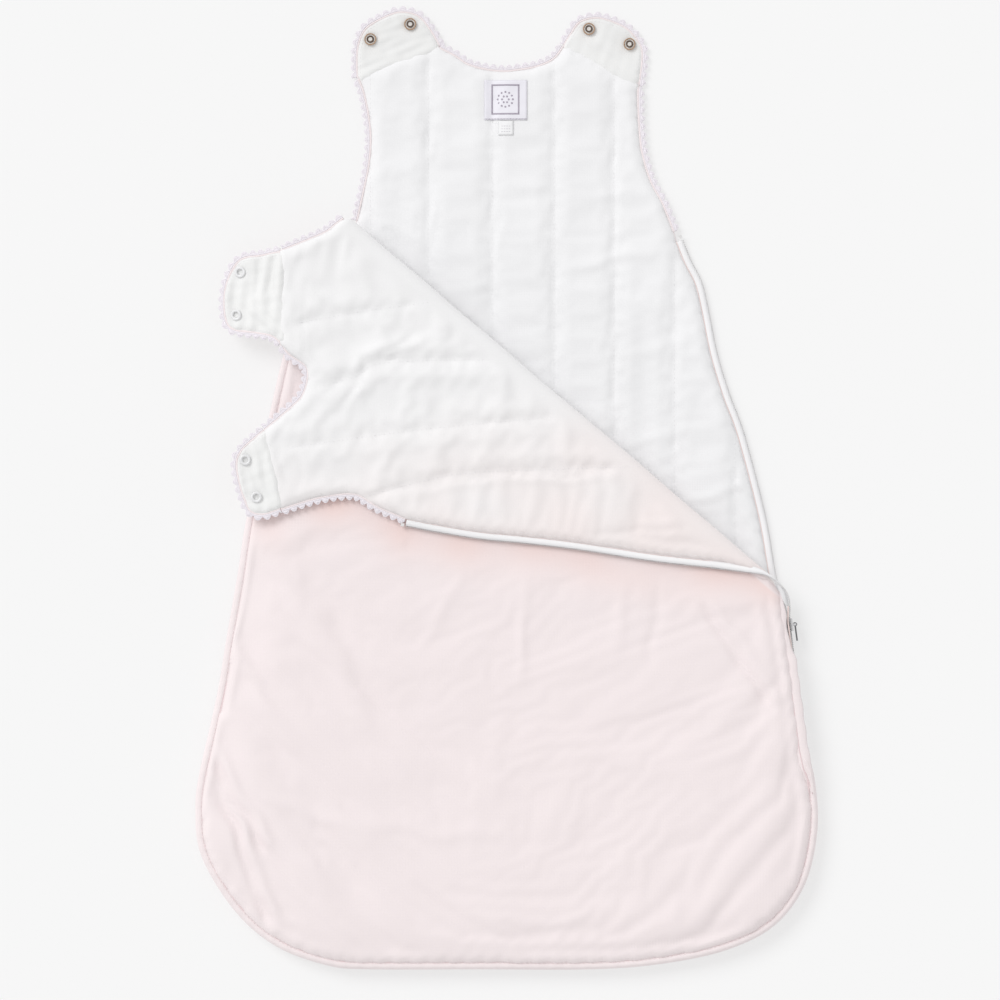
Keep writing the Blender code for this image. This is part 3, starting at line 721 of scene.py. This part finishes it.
def cloth(name, points, triangles, look, slot, hold, thickness=CLOTH, painted_light=None):
    """A thin closed sheet, from the triangles of its outer face."""
    used, triangles = np.unique(triangles, return_inverse=True)
    triangles = triangles.reshape(-1, 3)
    outer = points[used]
    inner = outer - vertex_normals(outer, triangles) * thickness
    count = len(outer)
    runs = {(int(t[k]), int(t[(k + 1) % 3])) for t in triangles for k in range(3)}
    rim = sorted((a, b) for a, b in runs if (b, a) not in runs)
    faces = triangles.tolist() + (triangles[:, ::-1] + count).tolist()
    faces += [[b, a, a + count, b + count] for a, b in rim]
    made = piece(name, np.vstack([outer, inner]), faces, look, slot)
    # Per-point amounts of painted light and shade, which the material reads.
    if painted_light is not None:
        shade = made.data.attributes.new("painted_light", "FLOAT", "POINT")
        shade.data.foreach_set("value", np.tile(painted_light[used], 2).astype(np.float32))
    hold(made)
    return made


def on(body):
    """Lets a piece ride on a body."""
    return lambda made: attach(made, body)


def between():
    """Bakes a piece's placement into its mesh and leaves it on no body."""
    return lambda made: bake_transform(made)


ON_BAG = on("bag")
ON_FLAP = on("front_flap")

# The lining turns right round the roll, from under the fold line to over it.
TURN_OUTSIDE = between(
)


def kept_below(height, limit, room=0.9):
    """Heights that stay under a limit, but keep some of their relief near it."""
    knee = limit - room
    return np.where(height > knee, knee + room * np.tanh((height - knee) / (2 * room)), height)


def near_seam(plan, reach=SEAM_REACH):
    """1 at the side and hem seam, 0 away from it and where it ends."""
    return 1 - ease(distance_to(plan, smooth(SEAM_EDGE[1:-1])) / reach)


def zip_turn(y):
    """How far the zip has turned: 0 where it lies flat, 1 where it stands up."""
    return ease((-60 - y) / 34)


def back_zip_edge():
    """The coil's path up the back, from the bottom stop to the armhole."""
    return np.vstack([[ZIP_BOTTOM], smooth([ZIP_MEETING, *ZIP_OPEN_EDGE])])


def beside_zip():
    """The panels' edge next to the zip."""
    path = spaced(back_zip_edge(), 4)
    flat = np.cos(zip_turn(path[:, 1]) * pi / 2)
    return offset(path, np.maximum(4.4 * flat, 2.6))


def seam_side():
    """The panels' edge inside the seam band."""
    return offset(smooth(SEAM_EDGE), SEAM_WIDTH - 1)


def past_root(name, *ends):
    """A tab's root stretch of a panel's edge, moved a little under the tab."""
    outwards = np.array(TABS[name].outwards)
    return np.array(ends, float) + PANEL_UNDER_TAB * outwards


def grooves(pad, depth=0.9, width=1.9):
    """How far the stitching pulls the cloth down, along each sewn line."""
    return depth * np.exp(-((pad.channel / width) ** 2))


def puckers(pad, seed):
    """Short gathers that cross the sewn lines and fade away from them."""
    near = np.exp(-((pad.channel / 7) ** 2))
    return near * (0.35 * ripple(pad.plan, 9, seed) + 0.3 * ripple(pad.plan, 14, seed + 1))


def back_panel():
    """The back's quilted lining and its outer cloth."""
    outline = np.vstack([
        seam_side(), beside_zip(),
        smooth(ARMHOLE_RIGHT), past_root("back_tab_right", ARMHOLE_RIGHT[-1], NECK[0]),
        smooth(NECK), past_root("back_tab_left", NECK[-1], ARMHOLE_LEFT[0]), smooth(ARMHOLE_LEFT),
    ])
    sewn = [[(x, -360), (x, 330)] for x in UPRIGHT_LINES]
    pad = Pad(outline, [], sewn, HALF, EDGE_ROUNDNESS, SPACING)
    pad.puff(slack=0.008, pressure=3, most=1.6).refine()
    plan, inland = pad.plan, ease(pad.away / 9)
    top, bottom = pad.top.copy(), pad.bottom.copy()
    top[:, 2] += inland * (crease_height(plan, BACK_CREASES) + 0.3 * ripple(plan, 38, 4))
    top[:, 2] += inland * (puckers(pad, 3) - grooves(pad))
    bottom[:, 2] = -kept_below(-bottom[:, 2] + inland * 0.3 * ripple(plan, 45, 5), HALF)
    lift = BACK_MIDDLE + BACK_LIFT * near_seam(plan)
    top[:, 2] += lift
    bottom[:, 2] += lift
    lining = cloth("quilted_back_lining", top, pad.triangles, LINING, "lining_cotton", ON_BAG)
    under = pad.triangles[:, ::-1]
    outer = cloth("back_outer_cloth", bottom, under, JERSEY, "outer_jersey", ON_BAG)
    stuffed(lining, PANEL_FILL, "back_lining", "back_wadding")
    stuffed(outer, PANEL_FILL, "back_outer_shell")
    return lining


def unfolded(points, on_flap):
    """Places seen from above as (along the fold, across it) on the front laid out flat."""
    away = np.asarray(points, float) - FOLD_POINT
    along, across = away @ FOLD_ALONG, away @ FOLD_OUT
    return np.stack([along, ROLL - across if on_flap else across], axis=1)


def folded(flat):
    """Points of the flat front, with its lining up, once it is turned over the fold."""
    along, across, height = flat.T
    angle = np.clip(across / FOLD_RADIUS, 0, pi) - pi / 2
    straight = np.minimum(across, 0) - np.maximum(across - ROLL, 0)
    radius = FOLD_TO_MIDDLE + height
    out = straight + radius * np.cos(angle)
    plan = FOLD_POINT + along[:, None] * FOLD_ALONG + out[:, None] * FOLD_OUT
    level = FOLD_HEIGHT + radius * np.sin(angle)
    level -= np.where(across < 0, FRONT_DROP * near_seam(plan), 0)
    return np.column_stack([plan, level])


def front_outline():
    """The front's edge, laid out flat."""
    side = beside_zip()
    side = side[side[:, 1] < -92]
    lower = unfolded(np.vstack([seam_side(), side]), False)
    upper = np.vstack([
        offset(smooth(FLAP_ZIP_EDGE), 4.4)[::-1], smooth(FLAP_ARMHOLE_RIGHT)[::-1],
        past_root("front_tab_right", FLAP_ARMHOLE_RIGHT[0], FLAP_NECK[-1]),
        smooth(FLAP_NECK)[::-1],
        past_root("front_tab_left", FLAP_NECK[0], FLAP_ARMHOLE_LEFT[-1]),
        smooth(FLAP_ARMHOLE_LEFT)[::-1],
    ])
    ends = [
        np.array([(along, (angle + 90) / 180 * ROLL) for along, angle in end])
        for end in (ROLL_END_RIGHT, ROLL_END_LEFT)
    ]
    return np.vstack([lower, ends[0], unfolded(upper, True), ends[1]])


def laid_out(creases, on_flap):
    """The creases on the front laid out flat."""
    moved = []
    for start, stop, width, rise in creases:
        ends = unfolded([start, stop], on_flap)
        moved.append((ends[0], ends[1], width, rise))
    return moved


def uncovered(places):
    """1 where the lower front lies in the open, 0 under the flap."""
    hem = np.array([(-200, -24), *FLAP_ARMHOLE_RIGHT, *FLAP_ZIP_EDGE, (215, -64)], float)
    return ease((np.interp(places[:, 0], *hem.T) - 8 - places[:, 1]) / 22)


def flap_edge_painted_shade(places, outside):
    """Painted shade and pink bounce light on the front's outer cloth: a peach band along the flap's
    zip edge and armhole, where the flap shades it, and a faint even amount on the flap's outer
    cloth.
    """
    hem = np.vstack([offset(smooth(FLAP_ARMHOLE_RIGHT), -2), smooth(FLAP_ZIP_EDGE), [(190, -66)]])
    away = distance_to(places[:, :2], hem)
    shade = np.exp(-((away / 21) ** 2)) * (0.42 + 0.12 * ripple(places[:, :2], 55, 21))
    return np.clip(np.where(outside, shade, 0.1), 0, 1)


def front_panel():
    """The front in one piece of each cloth, turned over the fold."""
    rows = [[(-230, ROLL * k / 6), (260, ROLL * k / 6)] for k in range(7)]
    sewn = [unfolded(smooth(line), True) for line in FLAP_LINES]
    pad = Pad(front_outline(), rows, sewn, HALF, EDGE_ROUNDNESS, SPACING)
    pad.puff(slack=0.022, pressure=3, most=2.5).refine()
    plan, inland = pad.plan, ease(pad.away / 9)
    flap = ease((plan[:, 1] - ROLL) / 12)
    lining, outer = pad.top.copy(), pad.bottom.copy()
    folds = crease_height(plan, laid_out(FLAP_CREASES, True)) + 0.35 * ripple(plan, 34, 8)
    lining[:, 2] += flap * ease(pad.away / 4) * folds
    lining[:, 2] += inland * (puckers(pad, 7) - grooves(pad))
    calm = ease((ROLL / 2 + 10 - abs(plan[:, 1] - ROLL / 2)) / 10) * ease(pad.away / 7)
    lining[:, 2] += calm * (HALF - 0.1 + 0.3 * ripple(plan, 70, 6) - lining[:, 2])
    raised = -outer[:, 2] + inland * 0.35 * ripple(plan, 42, 9)
    raised += 1.5 * inland * crease_height(plan, laid_out(FRONT_CREASES, False))
    outside = plan[:, 1] < 0
    in_open = np.where(outside, uncovered(folded(outer)), 0)
    raised = kept_below(raised, HALF + 3 * in_open)
    outer[:, 2] = -raised - calm * (HALF - raised)
    roll = (plan[:, 1] > -6) & (plan[:, 1] < ROLL + 6)
    lining[roll, :2] = plan[roll]
    outer[roll, :2] = plan[roll]
    lining, outer = folded(lining), folded(outer)
    # Painted shade and pink bounce light under the flap's zip edge.
    painted_shade_values = flap_edge_painted_shade(outer, outside)
    # Painted pink show-through light on the flap's lining, stronger towards its zip edge.
    painted_show_through = ease((90 - lining[:, 1] + 0.25 * lining[:, 0]) / 150) * (0.9 + 0.2 * ripple(plan, 60, 2))
    along, across = plan[pad.triangles].mean(axis=1).T
    upper = across > 0
    flipped = pad.triangles[:, ::-1]
    turned_over = cloth(
        "quilted_flap_lining", lining, flipped[upper], FLAP_LINING, "lining_cotton",
        TURN_OUTSIDE, painted_light=np.clip(painted_show_through, 0, 1),
    )
    inside_front = cloth(
        "front_inside_lining", lining, flipped[~upper], LINING, "lining_cotton", ON_BAG
    )
    at_zip = along > ROLL_CLOSED_FROM
    under = (across > ROLL) | at_zip & (across > ROLL / 2)
    kept = (across < 0) | at_zip & (across < ROLL / 2)
    front = cloth(
        "front_outer_cloth", outer, pad.triangles[kept], FRONT_JERSEY, "outer_jersey",
        ON_BAG, painted_light=painted_shade_values,
    )
    flap_outer = cloth(
        "flap_outer_cloth", outer, pad.triangles[under], FRONT_JERSEY, "outer_jersey",
        ON_FLAP, painted_light=painted_shade_values,
    )
    stuffed(turned_over, PANEL_FILL, "flap_lining", "flap_wadding", "front_fold")
    stuffed(inside_front, PANEL_FILL, "front_lining", "front_wadding")
    stuffed(front, PANEL_FILL, "front_outer_shell")
    stuffed(flap_outer, PANEL_FILL, "flap_outer_shell")
    return turned_over


def surface_of(made):
    return BVHTree.FromObject(made, bpy.context.evaluated_depsgraph_get())


def height_on(surface, place):
    """The height of the surface at a place seen from above, or nothing beside it."""
    hit = surface.ray_cast(Vector((place[0] * MM, place[1] * MM, 0.2)), Vector((0, 0, -1)))
    return hit[0].z / MM if hit[0] else None


def stitches(name, lines, onto, look, slot, hold, pitch=3.4, length=2.3, radius=0.16):
    """Rows of single stitches that sink into the cloth at both ends."""
    surface = surface_of(onto)
    parts = []
    for line in lines:
        marks = spaced(line, pitch)
        for start, stop in zip(marks[:-1], marks[1:]):
            middle = (start + stop) / 2
            reach = (stop - start) / max(np.linalg.norm(stop - start), 1e-9) * length / 2
            spots = [middle - reach, middle, middle + reach]
            levels = [height_on(surface, spot) for spot in spots]
            if None in levels:
                continue
            sunk = np.array(levels) + (-0.1, 0.08, -0.1)
            thread = tube(np.column_stack([spots, sunk]), radius * np.array((0.6, 1, 0.6)), 5)
            parts.append(thread)
    made = piece(name, *joined(parts), look, slot)
    hold(made)
    return made


# ---------------------------------------------------------------- seam, lace and tabs


def edge_band():
    """The thick topstitched seam round both sides and the hem."""
    path = spaced(smooth(SEAM_EDGE), 2)
    along = np.arange(len(path)) * 2.0
    # 1 at the band's two ends, where it is thicker, and 0 along the rest.
    end = 1 - ease(np.minimum(along, along[::-1]) / 34)
    middle = SEAM_MIDDLE + 1.1 * end
    half = SEAM_HALF + 3.6 * end + 0.2 * np.sin(along * tau / 11)
    width = SEAM_WIDTH + 0.6
    section = [
        (width, -0.7), (3.6, -1), (1.7, -0.93), (0.5, -0.6), (0, 0), (0.5, 0.6), (1.7, 0.93),
        (3.6, 1), (width, 0.8),
    ]
    runs = [np.column_stack([offset(path, w), middle + half * up]) for w, up in section]
    runs[-1][:, 2] = middle + SEAM_FLANGE
    made = solid("edge_seam_band", loft(np.stack(runs, axis=1)), JERSEY, "outer_jersey", ON_BAG)
    # A darker tube in the band's groove: painted shadow.
    groove = np.column_stack([offset(path, SEAM_WIDTH + 0.2), middle + 0.85 * half])
    groove = groove[(path[:, 0] > -150) | (path[:, 1] < SEAM_SHADOW_TOP)]
    solid("edge_seam_painted_shadow", tube(groove, 0.55), SEAM_GROOVE_SHADOW, "outer_jersey", ON_BAG)
    stuffed(made, SEAM_FILL, "edge_seam")
    return made


def lace(name, points, height, hold, node, laid=unmoved):
    """A braid with scalloped loops outside a cloth edge, and a cloth piping beside it."""
    path = spaced(smooth(points), 0.75)
    along = np.arange(len(path)) * 0.75
    wave = np.abs(np.sin(along * pi / PICOT_PITCH)) ** 1.3
    reach = 1.4 + 2.7 * wave
    level = np.full(len(path), float(height))
    inner = [np.column_stack([offset(path, -0.2), level + up]) for up in (-0.45, 0.45)]
    outer = [np.column_stack([offset(path, -reach), level + up]) for up in (0.3, -0.3)]
    web = loft(np.stack([*inner, *outer], axis=1))
    rim = tube(np.column_stack([offset(path, -reach), level]), 0.45, 6)
    cord = tube(np.column_stack([offset(path, -1), level + 0.3]), 0.45, 6)
    eye = tube(np.column_stack([offset(path, -1.3 - 0.55 * (reach - 1.3)), level + 0.3]), 0.3, 5)
    piping = tube(np.column_stack([offset(path, 0.2), level]), 0.75, 8)
    for suffix, parts, look, slot, stands_for in (
        ("braid", [web, rim, cord, eye], LACE, "picot_lace", node),
        ("piping", [piping], JERSEY, "outer_jersey", None),
    ):
        body, faces = joined(parts)
        solid(f"{name}_{suffix}", (laid(body), faces), look, slot, hold, stands_for)


def body_edges():
    """The picot edges of the necks and the armholes."""
    for node, points in (
        ("back_neck_trim", NECK), ("back_armhole_trim_right", ARMHOLE_RIGHT),
        ("back_armhole_trim_left", ARMHOLE_LEFT),
    ):
        lace(node.replace("trim", "edge"), points, BACK_TRIM_HEIGHT, ON_BAG, node)
    for node, points in (
        ("front_armhole_trim_left", FLAP_ARMHOLE_LEFT), ("front_neck_trim", FLAP_NECK),
        ("front_armhole_trim_right", FLAP_ARMHOLE_RIGHT),
    ):
        lace(node.replace("trim", "edge"), points, FLAP_TRIM_HEIGHT, ON_FLAP, node)


def tab(name):
    """A shoulder tab of two gathered cloths, with its lace and snaps."""
    points, root, outwards, middle, snaps, parent, laid = TABS[name]
    root, outwards = np.array(root), np.array(outwards)
    hold = between()
    ends = np.array([points[-1], points[0]], float) - TAB_IN_PANEL * outwards
    pad = Pad(np.vstack([smooth(points), ends]), [], [], 1.7, 3, TAB_SPACING).refine()
    plan = pad.plan
    away = (plan - root) @ outwards
    along = (plan - root) @ np.array((-outwards[1], outwards[0]))
    inland = ease(pad.away / 3)
    plump = 1 + 0.75 * (1 - ease((away + 2) / 18))
    pinch = np.ones(len(plan))
    for snap in snaps:
        gap = np.linalg.norm(plan - snap, axis=1)
        pinch *= 1 - 0.75 * np.exp(-((gap / 7) ** 2))
    depth = 0.45 if parent == "bag" else 0.85
    gathers = depth * ripple(np.column_stack([along * 0.2, away]), 8, len(name))
    gathers += 0.25 * ripple(np.column_stack([along, away * 0.3]), 9, 5)
    gathers += crease_height(plan, FLAP_CREASES)
    top, bottom = pad.top.copy(), pad.bottom.copy()
    top[:, 2] = top[:, 2] * pinch * plump + inland * pinch * gathers
    bottom[:, 2] = bottom[:, 2] * pinch
    top[:, 2] += middle
    bottom[:, 2] += middle
    facing = cloth(f"{name}_facing_cloth", laid(top), pad.triangles, FACING, "lining_cotton", hold)
    under = pad.triangles[:, ::-1]
    outer = cloth(f"{name}_outer_cloth", laid(bottom), under, JERSEY, "outer_jersey", hold)
    stuffed(facing, TAB_FILL, f"{name}_facing")
    stuffed(outer, TAB_FILL, f"{name}_outer")
    lace(f"{name}_edge", points, middle, hold, f"{name}_trim", laid)
    row = offset(smooth(points), 2.6)
    stitches(f"{name}_stitches", [row], facing, THREAD, "lining_cotton", hold, 2.6, 1.8, 0.18)
    for number, snap in enumerate(snaps, 1):
        if parent == "bag":
            back_snap(name, number, snap)
        else:
            front_snap(name, number, snap, laid)


def back_snap(name, number, centre):
    """A brass socket: a rounded brass rim, a near-white plate, a near-black ring round the middle
    painted as the shade in its sunk hollow, and a near-white middle disc; plate and disc are
    painted as its highlight.
    """
    rim = [(3.6, 4.4), (4.4, 4.4), (4.4, 5.3), (4.15, 5.8), (3.85, 5.8), (3.6, 5.3)]
    plate = [(2.6, 4.4), (3.6, 4.4), (3.6, 5.1), (2.6, 5.1)]
    hollow = [(1.7, 4.4), (2.6, 4.4), (2.6, 5.7), (2.3, 6.0), (1.9, 5.9), (1.7, 5.4)]
    core = [(0.02, 4.4), (1.7, 4.4), (1.7, 5.2), (1.2, 5.4), (0.02, 5.4)]
    for part, profile, look, node in (
        ("rim", rim, BRASS, f"{name}_snap_socket_{number}"), ("plate", plate, SNAP_PAINTED_HIGHLIGHT, None),
        ("hollow", hollow, SNAP_PAINTED_SHADE, None), ("core", core, SNAP_PAINTED_HIGHLIGHT, None),
    ):
        label = f"{name}_socket_{part}_{number}"
        solid(label, turned(centre, profile), look, "snap_brass", on(name), node)


def front_snap(name, number, centre, laid):
    """A white ring cap with a rounded rim and an open middle."""
    rim = [
        (2.1, 27.4), (3.9, 27.4), (4.05, 27.8), (3.8, 28.3), (3.2, 28.5), (2.5, 28.3), (2.1, 27.9),
    ]
    points, faces = turned(centre, rim)
    solid(
        f"{name}_cap_ring_{number}", (laid(points), faces), SNAP_WHITE, "snap_enamel", on(name),
        f"{name}_snap_cap_{number}",
    )


# ---------------------------------------------------------------- zip

TAPE_WIDTH = 5.0
TAPE_HALF = 0.35
COIL_PITCH = 1.5
COIL_SIDES = 7
CLOSED_EDGE_HEIGHT = 12.05
FLAP_EDGE_HEIGHT = 25.5
PLACKET_HEIGHT = 18.4
PLACKET_FOOT_DROP = 3.4
BACK_PLACKET_HEIGHT = 2.6

# Where the front's half turns over: the coil's places, and which way the tape lies from each.
UP = (0, 0, 1)
ZIP_TURN = [
    ((204.3, -86, 13), (-0.3, 0, 1)), ((202.6, -76, 18), (-0.95, 0.15, 0.3)),
    ((197, -68.5, 22.5), (-0.8, 0.58, 0.1)), ((188, -63.5, 26), (-0.6, 0.75, 0.1)),
    ((177, -61.6, 26.6), (-0.25, 0.95, 0)), ((165, -60, 26), (-0.13, 0.99, 0)),
    ((148, -57.7, 25.6), (-0.1, 1, 0)),
]


def unit(vectors):
    return vectors / np.linalg.norm(vectors, axis=1)[:, None]


def zip_half(suffix, edge, reach, hold, has_node=True):
    """A tape with a piping at its cloth side, and a coil along its edge on the outer side."""
    edge, reach = np.asarray(edge, float), np.asarray(reach, float)
    both = spaced(np.hstack([edge, reach]), 1.6)
    edge, reach = both[:, :3], unit(both[:, 3:])
    outer = unit(np.cross(unit(np.gradient(edge, axis=0)), reach))
    rings = [
        edge + reach * across + outer * up
        for across, up in (
            (0, -TAPE_HALF), (TAPE_WIDTH / 2, -TAPE_HALF * 1.3), (TAPE_WIDTH, -TAPE_HALF),
            (TAPE_WIDTH, TAPE_HALF), (TAPE_WIDTH / 2, TAPE_HALF * 0.8), (0, TAPE_HALF),
        )
    ]
    name, tape = f"zip_{suffix}", loft(np.stack(rings, axis=1))
    nodes = [f"zip_tape_{suffix}", f"zip_coil_{suffix}"] if has_node else [None, None]
    solid(f"{name}_tape", tape, TAPE, "zip_fabric", hold, nodes[0])
    if has_node:
        line = tube(edge + reach * (TAPE_WIDTH - 0.3), 0.6, 8)
        solid(f"{name}_piping", line, PIPING, "outer_jersey", hold)
    length = np.linalg.norm(np.diff(edge, axis=0), axis=1).sum()
    steps = int(length / COIL_PITCH) * COIL_SIDES
    where = np.linspace(0, len(edge) - 1, steps + 1)
    frames = [
        np.stack([np.interp(where, np.arange(len(edge)), column) for column in part.T], axis=1)
        for part in (edge, reach, outer)
    ]
    phase = np.arange(steps + 1) * tau / COIL_SIDES
    winding = frames[0] + frames[1] * (0.85 * np.cos(phase))[:, None]
    winding += frames[2] * (1.3 + 0.55 * np.sin(phase))[:, None]
    solid(f"{name}_coil", tube(winding, 0.3, 5), NYLON, "zip_nylon", hold, nodes[1])


def zip_halves():
    """The back's half, and the front's in three stretches: closed, turning over, on the flap."""
    path = back_zip_edge()
    inwards = (offset(path, 1) - path)[::-1]
    path = path[::-1]
    turn = zip_turn(path[:, 1])[:, None]
    edge = np.hstack([path, 3.6 + 6.35 * turn])
    flat = np.cos(turn * pi / 2)
    zip_half("back", edge, np.hstack([inwards * flat, -np.sin(turn * pi / 2)]), ON_BAG)
    closed = [(*place, CLOSED_EDGE_HEIGHT) for place in (ZIP_BOTTOM, ZIP_MEETING)]
    zip_half("front_lower", [*closed, ZIP_TURN[0][0]], [UP, UP, UP], ON_BAG)
    edge, reach = (smooth(part) for part in zip(*ZIP_TURN))
    zip_half("front_turn", edge, reach, TURN_OUTSIDE, has_node=False)
    path = smooth(FLAP_ZIP_EDGE)
    inwards = (offset(path, 1) - path)[::-1]
    edge = np.column_stack([path[::-1], np.full(len(path), FLAP_EDGE_HEIGHT)])
    zip_half("front_upper", edge, np.column_stack([inwards, np.zeros(len(path))]), ON_FLAP)


def zip_placket():
    """The panels' edges that hide the closed zip, above it and below it."""
    foot = smooth([(223, -222), (220.5, -208), (218.3, -198), ZIP_BOTTOM])
    head = smooth([(207.8, -125), (203, -112), (200.8, -100), (200, -88), (198.3, -79), (194, -72)])
    path = spaced(np.vstack([foot, head]), 2)
    passed = np.arange(len(path)) * 2
    slim = 0.25 + 0.75 * ease(np.minimum(passed, passed[::-1]) / 22)
    wobble = 0.3 * np.sin(passed * tau / 17)
    section = [(7.5, -1.1), (2, -1.3), (-1.4, -1), (-2.4, 0), (-1.4, 1), (2, 1.3), (7.5, 1.1)]
    front_level = PLACKET_HEIGHT - PLACKET_FOOT_DROP * (1 - ease(passed / 30))
    for name, middle in (("front", front_level), ("back", BACK_PLACKET_HEIGHT)):
        runs = [
            np.column_stack([offset(path, across * slim + wobble), middle + up * slim])
            for across, up in section
        ]
        edge = loft(np.stack(runs, axis=1))
        solid(f"zip_placket_{name}", edge, JERSEY, "outer_jersey", ON_BAG)
    # A darker tube along the front placket: painted shadow of its seam.
    line = np.column_stack([offset(path, 4.4 * slim), front_level + 1.1 * slim])
    solid("zip_placket_painted_shadow", tube(line, 0.5), SEAM_GROOVE_SHADOW, "outer_jersey", ON_BAG)


def painted(look, *nodes):
    """Gives CAD nodes that stay on view their finish."""
    for name in nodes:
        node = frame["nodes"][name]
        node.material_slots[0].link = "OBJECT"
        node.material_slots[0].material = look


def hardware():
    """The finish of the zip's and the snaps' own CAD solids that stay on view."""
    painted(SLIDER, "zip_slider", "zip_slider_inner_plate")
    painted(PULLER, "zip_puller")
    painted(STOP, "zip_bottom_stop", "zip_top_stop_back", "zip_top_stop_front")
    for name, made in TABS.items():
        half, look = ("cap", SNAP_WHITE) if made.parent == "bag" else ("stud", BRASS)
        painted(look, f"{name}_snap_{half}_1", f"{name}_snap_{half}_2")


# ---------------------------------------------------------------- labels


NECK_LABEL = ((-16, 267), (15, 296))
CARE_LABEL = ((-6, 256), (5, 266.5))
LABEL_FRAME = ((-11.0, 271.0), (9.4, 293.0))
LABEL_LINE = 1.1


def patch(name, low, high, onto, lift, thickness, look, slot):
    """A small rectangle of cloth that lies on a surface."""
    surface = surface_of(onto)
    steps = [max(int((b - a) / 1.5), 1) for a, b in zip(low, high)]
    columns, rows = (np.linspace(a, b, n + 1) for a, b, n in zip(low, high, steps))
    points = np.array([(x, y) for y in rows for x in columns])
    middle = (np.array(low) + high) / 2
    base = np.array([height_on(surface, middle + (p - middle) * 0.999) for p in points], float)
    width = len(columns)
    corners = [j * width + i for j in range(steps[1]) for i in range(steps[0])]
    triangles = np.array(
        [t for c in corners for t in ((c, c + 1, c + width + 1), (c, c + width + 1, c + width))]
    )
    top = np.column_stack([points, base + lift])
    return cloth(name, top, triangles, look, slot, ON_BAG, thickness)


def printed_motif(label):
    """A frame round two rings of dots, printed on a label."""
    (left, bottom), (right, top), line = *LABEL_FRAME, LABEL_LINE
    bars = [
        ((left, bottom), (right, bottom + line)), ((left, top - line), (right, top)),
        ((left, bottom + line), (left + line, top - line)),
        ((right - line, bottom + line), (right, top - line)),
    ]
    for number, (low, high) in enumerate(bars, 1):
        patch(f"label_frame_{number}", low, high, label, 0.12, 0.16, PRINT, "label_satin")
    surface = surface_of(label)
    centre = np.array(((left + right) / 2, (bottom + top) / 2))
    parts = []
    for ring, dots in ((2.4, 6), (5.4, 12)):
        for k in range(dots):
            place = centre + ring * np.array((cos(tau * k / dots), sin(tau * k / dots)))
            up = height_on(surface, place)
            dot = [(0.02, up), (0.75, up), (0.7, up + 0.12), (0.02, up + 0.14)]
            parts.append(turned(place, dot, 12))
    solid("label_motif_dots", joined(parts), PRINT, "label_satin", ON_BAG)


def labels(lining):
    """The neck label with its motif and hem, and the care label with three plain rules."""
    neck = patch("neck_label_satin", *NECK_LABEL, lining, 0.7, 0.45, SATIN, "label_satin")
    care = patch("care_label_cloth", *CARE_LABEL, lining, 0.65, 0.4, CARE, "label_white")
    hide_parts("neck_label")
    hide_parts("care_label")
    printed_motif(neck)
    rules = [[(-4, y), (3, y)] for y in (258.6, 260.6, 262.6)]
    stitches("care_label_rules", rules, care, PRINT, "label_white", ON_BAG, 1.6, 1.5, 0.14)
    hem = [[(-15.8, 267.8), (14.8, 267.8)]]
    stitches("label_hem_stitches", hem, neck, PRINT, "label_satin", ON_BAG, 2.2, 2.0, 0.28)


# ---------------------------------------------------------------- the whole

# The camera, in metres: the middle and the width of what it sees at this height.
LENS = 200
VIEW_MIDDLE = (-0.0047, -0.0091)
VIEW_WIDTH = 0.7254
VIEW_HEIGHT = 0.015


def sewing(lining, flap_lining, band):
    """The rows of stitches on the panels, the seam band and beside the zip."""
    lines = [[(x, -343), (x, 312)] for x in UPRIGHT_LINES]
    stitches("back_quilting_stitches", lines, lining, THREAD, "lining_cotton", ON_BAG)
    lines = [smooth(line) for line in FLAP_LINES]
    lines.append(offset(smooth(FLAP_ZIP_EDGE), 7.2))
    stitches("flap_quilting_stitches", lines, flap_lining, THREAD, "lining_cotton", ON_FLAP)
    row = offset(smooth(SEAM_EDGE), 4.6)
    stitches("edge_seam_stitches", [row], band, PINK_THREAD, "outer_jersey", ON_BAG, 3.2)
    path = spaced(back_zip_edge(), 4)
    row = offset(path[path[:, 1] > -60], 6.6)
    stitches("back_zip_stitches", [row], lining, THREAD, "lining_cotton", ON_BAG)


def studio():
    """A pale floor, a broad window and a camera straight above the bag."""
    scene = bpy.context.scene
    scene.view_settings.view_transform = "Standard"
    bpy.ops.mesh.primitive_plane_add(size=6, location=(0, 0, -0.0006))
    floor = bpy.context.object
    floor.name = "studio_floor"
    look, tree, surface = shader(
        "floor_paper", (0.4, 0.4, 0.4), 1.0,
        Emission_Color=(1, 1, 1, 1), Emission_Strength=0.52,
    )
    mottled(tree, surface, (0.398, 0.398, 0.398), (0.402, 0.402, 0.402), 3)
    floor.data.materials.append(look)
    lamp = bpy.data.lights.new("window", "SUN")
    lamp.energy = 1.2
    lamp.angle = radians(30)
    window = bpy.data.objects.new("window", lamp)
    window.rotation_euler = Vector((0.75, -0.7, -0.95)).to_track_quat("-Z", "Y").to_euler()
    scene.collection.objects.link(window)
    world = bpy.data.worlds.new("studio")
    world.use_nodes = True
    sky = world.node_tree.nodes["Background"]
    sky.inputs["Color"].default_value = (1, 1, 1, 1)
    sky.inputs["Strength"].default_value = 0.745
    scene.world = world
    eye = bpy.data.cameras.new("camera")
    eye.lens = LENS
    camera = bpy.data.objects.new("camera", eye)
    camera.location = (*VIEW_MIDDLE, VIEW_WIDTH * LENS / eye.sensor_width + VIEW_HEIGHT)
    scene.collection.objects.link(camera)
    scene.camera = camera


def main():
    lining = back_panel()
    flap_lining = front_panel()
    band = edge_band()
    body_edges()
    for name in TABS:
        tab(name)
    zip_halves()
    zip_placket()
    hardware()
    labels(lining)
    sewing(lining, flap_lining, band)
    studio()


main()
